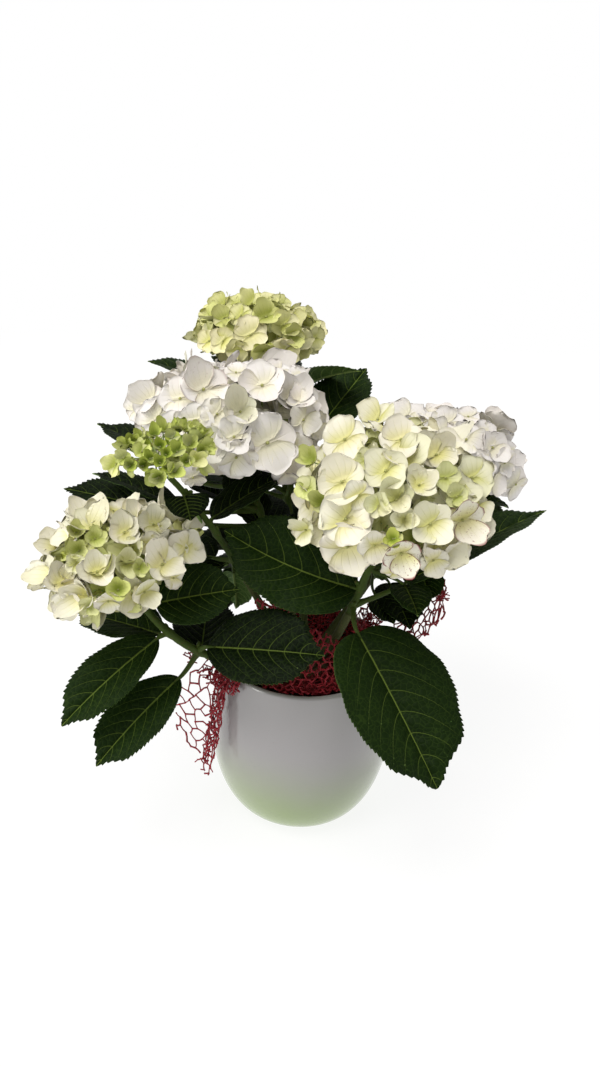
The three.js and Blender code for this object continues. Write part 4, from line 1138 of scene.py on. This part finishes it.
def make_crown(materials):
    """The woody crown on the peat and the stub under each stem."""
    rng = np.random.default_rng(5)
    ground = SOIL_TOP + 0.3
    profile = [(0.01, ground), (23, ground), (20, ground + 1.5), (18, ground + 3), (15.6, ground + 6),
               (15, ground + 8), (12.5, ground + 9.6), (9, 143), (5, 143.7), (0.01, 144)]
    profile = np.array(profile)
    rows, sides = 46, 64
    steps = np.linspace(0, len(profile) - 1, rows)
    r, z = (np.interp(steps, np.arange(len(profile)), profile[:, i])[:, None] for i in (0, 1))
    a = 2 * np.pi * np.arange(sides) / sides
    wobble = 0.05 * np.sin(3 * a + 0.6) + 0.035 * np.sin(7 * a + 2.0) + 0.02 * np.sin(17 * a)
    r = r * (0.94 + wobble + 0.012 * rng.normal(size=(rows, sides)))
    share = np.repeat(np.linspace(0, 1, rows), sides)
    fact = np.stack([share, np.tile(a / 6.283, rows), np.zeros(rows * sides)], -1)
    skin = Skin()
    skin.add(ring_points(r, z, sides), ring_quads(rows, sides), fact=fact)
    t = np.linspace(0, 1, 16)
    for shoot in SHOOTS.values():
        curve = shoot_curve(shoot)
        tangent = along_curve(curve, 0.0)
        end = curve[0] - tangent * 0.3
        start = vec(end[0] * 0.35, end[1] * 0.35, ground + 5)
        radii = (shoot["radii"][0] + 1.6) * (1 - t) + (shoot["radii"][0] + 0.2) * t
        path = on_curve([start, end - tangent * 5, end], t)
        skin.add(*tube(path, radii * 0.96, 20, 1 + 0.03 * rng.normal(size=(16, 20))))
    skin.piece("crown_wood", [materials["wood"]], "crown", "woody_crown")


# ---------------------------------------------------------------- pot
POT_SIDES = 144
FOOT_RING = [(0.01, 0.9), (POT_BASE - 9, 0.9), (POT_BASE - 7.5, 0.0), (POT_BASE - 1.2, 0.0),
             (POT_BASE, 0.35)]


def pot_radius(z):
    z = np.asarray(z, dtype=float)
    low = 1 - np.clip(1 - z / POT_BELLY_HEIGHT, 0, 1) ** POT_POWER
    belly = POT_BASE + (POT_BELLY - POT_BASE) * low ** (1 / POT_POWER)
    share = (z - POT_BELLY_HEIGHT) / (POT_HEIGHT - POT_BELLY_HEIGHT)
    wall = POT_BELLY + (POT_RIM - POT_BELLY) * share ** 2
    return np.where(z < POT_BELLY_HEIGHT, belly, wall)


def pot_material():
    """Glaze that turns from a green foot to a pale grey wall; heights are in metres."""
    g = Graph("glazed_ceramic", Roughness=0.22, Coat_Weight=0.6, Coat_Roughness=0.05)
    where = g.place()
    height = g.split(where)[2] + g.noise(where, 14.0) * 0.016
    base = g.mix(g.band(height, 0.010, 0.110), (130, 156, 74), (152, 149, 150))
    base = g.mix(g.noise(where, 70.0, 4.0) * 0.14, base, (166, 162, 164))
    base = g.mix(g.band(g.noise(where, 420.0, 2.0), 0.62, 0.8, 0.10), base, (112, 110, 112))
    return g.dress(base, g.noise(where, 120.0, 2.0), 0.10, 0.0005, 0.16 + g.noise(where, 34.0) * 0.12)


def make_pot():
    """The pot's section, from under its foot over the rim to its floor inside, turned into rings."""
    outer = np.concatenate([[1.2], np.linspace(3, 12, 10), np.linspace(14, 146, 56)])
    inner = np.linspace(134, POT_FLOOR + 4, 24)
    lip = POT_WALL / 2
    section = FOOT_RING + list(zip(pot_radius(outer), outer))
    for angle in np.radians(np.linspace(0, 180, 13)):
        section.append((POT_RIM - lip + lip * math.cos(angle), POT_HEIGHT - lip + lip * math.sin(angle)))
    section += list(zip(pot_radius(inner) - POT_WALL, inner))
    section += [(pot_radius(POT_FLOOR) - POT_WALL - 3, POT_FLOOR), (0.01, POT_FLOOR)]
    section = np.array(section)
    skin = Skin()
    points = ring_points(section[:, :1], section[:, 1:], POT_SIDES)
    skin.add(points, ring_quads(len(section), POT_SIDES))
    skin.piece("pot_glaze", [pot_material()], "pot", "glazed_pot")


def peat_material():
    g = Graph("peat", Roughness=0.95)
    where = g.place()
    base = g.mix(g.noise(where, 120.0, 6.0, 0.7), (26, 18, 13), (74, 54, 38))
    base = g.mix(g.band(g.cells(where, 260.0, "F1"), 0.25, 0.1, 0.6), base, (112, 88, 62))
    return g.dress(base, g.noise(where, 300.0, 5.0, 0.7), 0.9, 0.0015)


PEAT_SIDES = 120
PEAT_CRUMBS = 420
PEAT_GAP = 0.6                    # between the peat and the pot's wall


def make_soil():
    """Crumbly peat that fills the pot's inside."""
    rng = np.random.default_rng(9)
    a = 2 * np.pi * np.arange(PEAT_SIDES) / PEAT_SIDES
    reach = float(pot_radius(SOIL_TOP)) - POT_WALL - 0.4
    radii = np.concatenate([[0.01], np.linspace(2, reach, 46)])[:, None]
    x = radii * np.cos(a)
    y = radii * np.sin(a)
    z = SOIL_TOP - 1.6 + 0.9 * np.sin(x * 0.21 + 1) * np.cos(y * 0.17) + 0.6 * np.sin(x * 0.53 + y * 0.4)
    z = z + 0.45 * rng.normal(size=x.shape) * (radii > 1)
    z = np.minimum(z, SOIL_TOP + 0.2)
    z[0] = z[0].mean()
    low = np.array([SOIL_TOP - 10, 104, 68, 42, 24, 13, POT_FLOOR + 0.3])
    walls = np.append(pot_radius(low) - POT_WALL - PEAT_GAP, 0.01)[:, None]
    low = np.append(low, POT_FLOOR + 0.3)[:, None]
    skin = Skin()
    rings = np.concatenate([ring_points(radii, z, PEAT_SIDES), ring_points(walls, low, PEAT_SIDES)])
    skin.add(rings, ring_quads(len(radii) + len(low), PEAT_SIDES)[:, ::-1])
    for _ in range(PEAT_CRUMBS):
        angle = rng.uniform(0, 6.283)
        distance = reach * math.sqrt(rng.uniform(0.06, 0.95))
        size = rng.uniform(0.6, 1.9)
        centre = vec(distance * math.cos(angle), distance * math.sin(angle), SOIL_TOP - 1.3)
        skin.add(*ball(centre, size, rng.uniform(0.5, 1.0), rng.normal(size=3)))
    skin.piece("peat_top", [peat_material()], "root_ball", "peat")


# ---------------------------------------------------------------- net
HEAP_LAYERS = 3
HEAP_HALF = 66.0                  # half the width of the flat layers on the peat
HEAP_MARGIN = 14.0
HEAP_HOLE = 17.0                  # the stems stand in this hole
HEAP_CELL = 3.9
WANDER = 0.20                     # how far a knot strays, in cell sizes
LOOSE_STRAND = 0.45               # how likely a strand that leaves the sheet is kept
LONGEST = 4.0                     # longest strand, in cell sizes


def net_material():
    g = Graph("net_fibre", Roughness=0.55)
    t, around, _ = g.attribute("place")
    twist = g.math("SINE", (t * 3.0 + around) * 12.566)
    base = g.mix(g.noise(g.place(), 160.0), (116, 10, 24), (184, 30, 48))
    base = g.mix(g.band(twist, 0.2, 1.0, 0.35), base, (92, 6, 20))
    return g.dress(base, twist, 0.4, 0.0003)


def along_rows(rows, share, q):
    """Radius and height at the share q of a profile; share picks between its first and last edge."""
    rows = np.array([row if len(row) == 3 else (row[0], row[0], row[1]) for row in rows], dtype=float)
    flat = np.stack([rows[:, 0] + (rows[:, 1] - rows[:, 0]) * share, rows[:, 2]], -1)
    steps = np.concatenate([[0], np.cumsum(np.linalg.norm(np.diff(flat, axis=0), axis=1))])
    return [np.interp(q * steps[-1], steps, flat[:, i]) for i in (0, 1)]


def hex_edges(width, length, size, rng):
    """Knots and edges of a jittered honeycomb that fills a width by length sheet."""
    knots = []
    index = {}

    def knot(i, j, half):
        if (i, j, half) not in index:
            x = size * math.sqrt(3) * (i + 0.5 * (j % 2)) + rng.normal(0, size * WANDER)
            y = size * 1.5 * j + (size * 0.75 if half else -size * 0.25) + rng.normal(0, size * WANDER)
            index[i, j, half] = len(knots)
            knots.append((x, y))
        return index[i, j, half]

    edges = []
    for j in range(-1, int(length / (1.5 * size)) + 2):
        for i in range(-1, int(width / (1.732 * size)) + 2):
            high = knot(i, j, 1)
            edges.append((knot(i, j, 0), high))
            for other in ((i, i - 1) if j % 2 == 0 else (i + 1, i)):
                edges.append((high, knot(other, j + 1, 0)))
    return knots, edges


def add_strand(skin, a, b, thick, rng):
    t = np.linspace(0, 1, 3)
    bow = rng.normal(0, 0.35, 3)
    path = a + (b - a) * t[:, None] + np.sin(np.pi * t)[:, None] * bow
    skin.add(*tube(path, thick * (1.05 + 0.2 * np.abs(2 * t - 1) ** 3), 4))


def add_knot(skin, centre, rng):
    """A small eight-sided knot where strands meet."""
    up = unit(rng.normal(size=3))
    side = unit(np.cross(up, vec(0.3, 0.5, 0.8)))
    other = np.cross(up, side)
    corners = centre + np.array([side, other, -side, -other, 0.8 * up, -0.8 * up])
    faces = [(i, (i + 1) % 4, 4) for i in range(4)] + [((i + 1) % 4, i, 5) for i in range(4)]
    skin.add(corners, trios=np.array(faces))


def add_sheet(skin, width, length, size, place, inside, torn, rng):
    """One sheet of net; place maps the flat sheet to space, torn is the share of lost strands."""
    knots, edges = hex_edges(width, length, size, rng)
    points = np.array([place(x, y) for x, y in knots])
    held = np.array([bool(inside(x, y)) for x, y in knots])
    used = set()
    for a, b in edges:
        if not (held[a] or held[b]):
            continue
        start, end = points[a], points[b]
        span = np.linalg.norm(start - end)
        if held[a] != held[b]:
            if rng.uniform() > LOOSE_STRAND or span > LONGEST * size:
                continue
            if held[b]:
                start, end = end, start
            end = start + (end - start) * rng.uniform(0.4, 0.9) + rng.normal(0, 0.8, 3)
        elif rng.uniform() < torn or span > LONGEST * size:
            continue
        add_strand(skin, start, end, rng.uniform(0.46, 0.70), rng)
        for k in (a, b):
            if held[k] and k not in used:
                used.add(k)
                add_knot(skin, points[k], rng)


def add_heap(skin, layer, rng):
    """A crumpled layer that lies on the peat and climbs the inside of the rim."""
    waves = rng.uniform(0, 6.28, 4)

    def place(x, y):
        x = x - HEAP_HALF
        y = y - HEAP_HALF
        turn = math.atan2(y, x) + layer * 0.7
        r, z = along_rows(COLLAR_ROWS, 0.0, np.clip((math.hypot(x, y) - HEAP_HOLE) / 56, 0, 1))
        fold = math.sin(0.21 * x + waves[0]) * math.sin(0.19 * y + waves[1])
        fold = fold + 0.6 * math.sin(0.43 * x + waves[2]) * math.sin(0.39 * y + waves[3])
        z = z + 1.2 * layer + 1.9 * fold * (1 if r < 58 else 0.5) + rng.normal(0, 0.6)
        r = r + rng.normal(0, 0.7)
        return vec(r * math.cos(turn), r * math.sin(turn), max(z, SOIL_TOP + 0.8))

    def inside(x, y):
        return HEAP_HOLE < math.hypot(x - HEAP_HALF, y - HEAP_HALF) < 72

    side = 2 * HEAP_HALF + HEAP_MARGIN
    add_sheet(skin, side, side, HEAP_CELL, place, inside, 0.05, rng)


def add_leaving_sheet(skin, name, layer, rng):
    """One layer of a sheet that stands up from the rim or hangs over it."""
    first, last, rows, width, size, _, squeeze = NET_SHEETS[name]
    length = sum(math.dist(a[-2:], b[-2:]) for a, b in zip(rows, rows[1:]))
    waves = rng.uniform(0, 6.28, 3)

    def place(x, y):
        p = np.clip(x / width, 0, 1)
        q = np.clip(y / length, 0, 1)
        share = 1 - (1 - p) ** squeeze
        r, z = along_rows(rows, share, q)
        pleat = math.sin(5.5 * p + waves[0]) + 0.5 * math.sin(13 * p + waves[1] + 3 * q)
        r = r + pleat * 1.1 * smooth(q, 0.0, 0.4) - 1.4 * layer
        z = z + 0.8 * math.sin(9 * p + waves[2])
        turn = math.radians(first + (last - first) * share)
        return vec(r * math.cos(turn), r * math.sin(turn), z) + rng.normal(0, 0.5, 3)

    def inside(x, y):
        p = x / width
        q = y / length
        if not (0 <= p <= 1 and 0 <= q):
            return False
        return q < np.interp(p, *NET_HEMS[name]) + 0.02 * math.sin(40 * p)

    add_sheet(skin, width, length, size, place, inside, 0.03, rng)


def add_tuft(skin, turn, radius, height, size, count, rng):
    """Forked loose ends where the net is bunched up."""
    a = math.radians(turn)
    root = vec(radius * math.cos(a), radius * math.sin(a), height)
    for _ in range(count):
        heading = unit(rng.normal(size=3) + vec(0, 0, 0.9))
        middle = root + heading * size * rng.uniform(0.3, 0.6) + rng.normal(0, 1.2, 3)
        add_strand(skin, root + rng.normal(0, 1.0, 3), middle, 0.5, rng)
        for _fork in range(2):
            tip = middle + unit(heading + rng.normal(0, 0.7, 3)) * size * rng.uniform(0.3, 0.6)
            add_strand(skin, middle, tip, 0.45, rng)


def make_net():
    rng = np.random.default_rng(21)
    skin = Skin()
    for layer in range(HEAP_LAYERS):
        add_heap(skin, layer, rng)
    for name, sheet in NET_SHEETS.items():
        for layer in range(sheet[5]):
            add_leaving_sheet(skin, name, layer, rng)
    for tuft in NET_TUFTS:
        add_tuft(skin, *tuft, rng)
    skin.piece("net_fibres", [net_material()], "net", "net_fibre")


# ---------------------------------------------------------------- studio
FLOOR_HALF = 1.6
WHITE = (1.0, 1.0, 1.0)
# Lights: place, aim and size in metres, power in watts, tint.
LIGHTS = {
    "key": ((-0.55, -0.45, 2.2), (0, 0, 0.15), 1.6, 38.0, (1.0, 0.98, 0.96)),
    "fill": ((1.5, -1.2, 1.0), (0, 0, 0.2), 1.2, 3.0, (1.0, 1.0, 0.98)),
    "side": ((-1.3, -0.7, 0.45), (0, 0, 0.08), 0.7, 8.5, (1.0, 1.0, 0.95)),
    "rim": ((0.3, 1.8, 1.5), (0, 0, 0.25), 1.2, 7.0, WHITE),
}


def make_camera():
    data = bpy.data.cameras.new("camera")
    data.sensor_width = SENSOR
    data.lens = SENSOR * FOCAL_PIXELS / IMAGE_HEIGHT
    data.clip_start = 0.01
    camera = bpy.data.objects.new("camera", data)
    bpy.context.scene.collection.objects.link(camera)
    matrix = Matrix((Vector(RIGHT), Vector(RISE), Vector(-AHEAD))).transposed().to_4x4()
    matrix.translation = Vector(CAMERA_PLACE) * MM
    camera.matrix_world = matrix
    bpy.context.scene.camera = camera


def make_lights():
    for name, (place, aim, size, power, tint) in LIGHTS.items():
        data = bpy.data.lights.new(name, "AREA")
        data.shape = "DISK"
        data.size = size
        data.energy = power
        data.color = tint
        light = bpy.data.objects.new(name, data)
        bpy.context.scene.collection.objects.link(light)
        light.location = place
        light.rotation_euler = (Vector(aim) - Vector(place)).to_track_quat("-Z", "Y").to_euler()


def make_world():
    """Paper that is seen white behind the plant, and lights it like a dim room."""
    scene = bpy.context.scene
    scene.view_settings.view_transform = "Standard"
    world = bpy.data.worlds.new("studio")
    scene.world = world
    world.use_nodes = True
    tree = world.node_tree
    room = tree.nodes["Background"]
    room.inputs["Color"].default_value = (1.0, 0.99, 0.96, 1.0)
    room.inputs["Strength"].default_value = 0.40
    paper = tree.nodes.new("ShaderNodeBackground")
    paper.inputs["Color"].default_value = (*WHITE, 1.0)
    paper.inputs["Strength"].default_value = 1.0
    path = tree.nodes.new("ShaderNodeLightPath")
    pick = tree.nodes.new("ShaderNodeMixShader")
    tree.links.new(path.outputs["Is Camera Ray"], pick.inputs[0])
    tree.links.new(room.outputs[0], pick.inputs[1])
    tree.links.new(paper.outputs[0], pick.inputs[2])
    tree.links.new(pick.outputs[0], tree.nodes["World Output"].inputs["Surface"])


def make_floor():
    corners = [(x * FLOOR_HALF, y * FLOOR_HALF, 0) for x, y in ((-1, -1), (1, -1), (1, 1), (-1, 1))]
    mesh = bpy.data.meshes.new("studio_floor")
    mesh.from_pydata(corners, [], [(0, 1, 2, 3)])
    floor = bpy.data.objects.new("studio_floor", mesh)
    bpy.context.scene.collection.objects.link(floor)
    g = Graph("studio_floor", Roughness=0.9, Specular_IOR_Level=0.1, Emission_Strength=0.86)
    g.shader.inputs["Emission Color"].default_value = (*WHITE, 1.0)
    base = g.mix(g.noise(g.place(), 3.0, 2.0), (112, 112, 112), (118, 118, 118))
    g.wire(base, g.shader.inputs["Base Color"])
    mesh.materials.append(g.material)


# ---------------------------------------------------------------- build
# Pale (tip, heart) and green (tip, heart) colours of the sepals.
PALETTE = {
    "blossom_white": (((230, 226, 224), (228, 223, 196)), ((216, 220, 146), (172, 188, 80))),
    "blossom_cream": (((232, 228, 214), (216, 211, 136)), ((204, 210, 108), (140, 160, 44))),
    "blossom_lime": (((234, 228, 184), (212, 210, 122)), ((190, 196, 100), (130, 146, 44))),
    "blossom_green": (((232, 232, 166), (184, 194, 84)), ((172, 186, 74), (86, 110, 18))),
}
SHOOT_SEED = 300
HEAD_SEED = 400

make_camera()
make_world()
make_lights()
make_floor()
make_pot()
make_soil()
sepals = {slot: sepal_material(slot, *colours) for slot, colours in PALETTE.items()}
shared = {
    "leaf": leaf_materials(),
    "green": green_stem_material(),
    "bark": bark_material("young_bark", (50, 58, 22), (84, 90, 38)),
    "wood": bark_material("crown_bark", (64, 50, 34), (128, 106, 76)),
    "bead": bead_material(),
    "pedicel": pedicel_material(),
}
make_crown(shared)
for number, (name, shoot) in enumerate(SHOOTS.items()):
    make_shoot(name, shoot, LEAVES[name], shared, SHOOT_SEED + number)
    looks = HEADS[name]
    make_head(name, shoot, looks, dict(shared, sepal=sepals[looks.slot]), HEAD_SEED + number)
make_net()
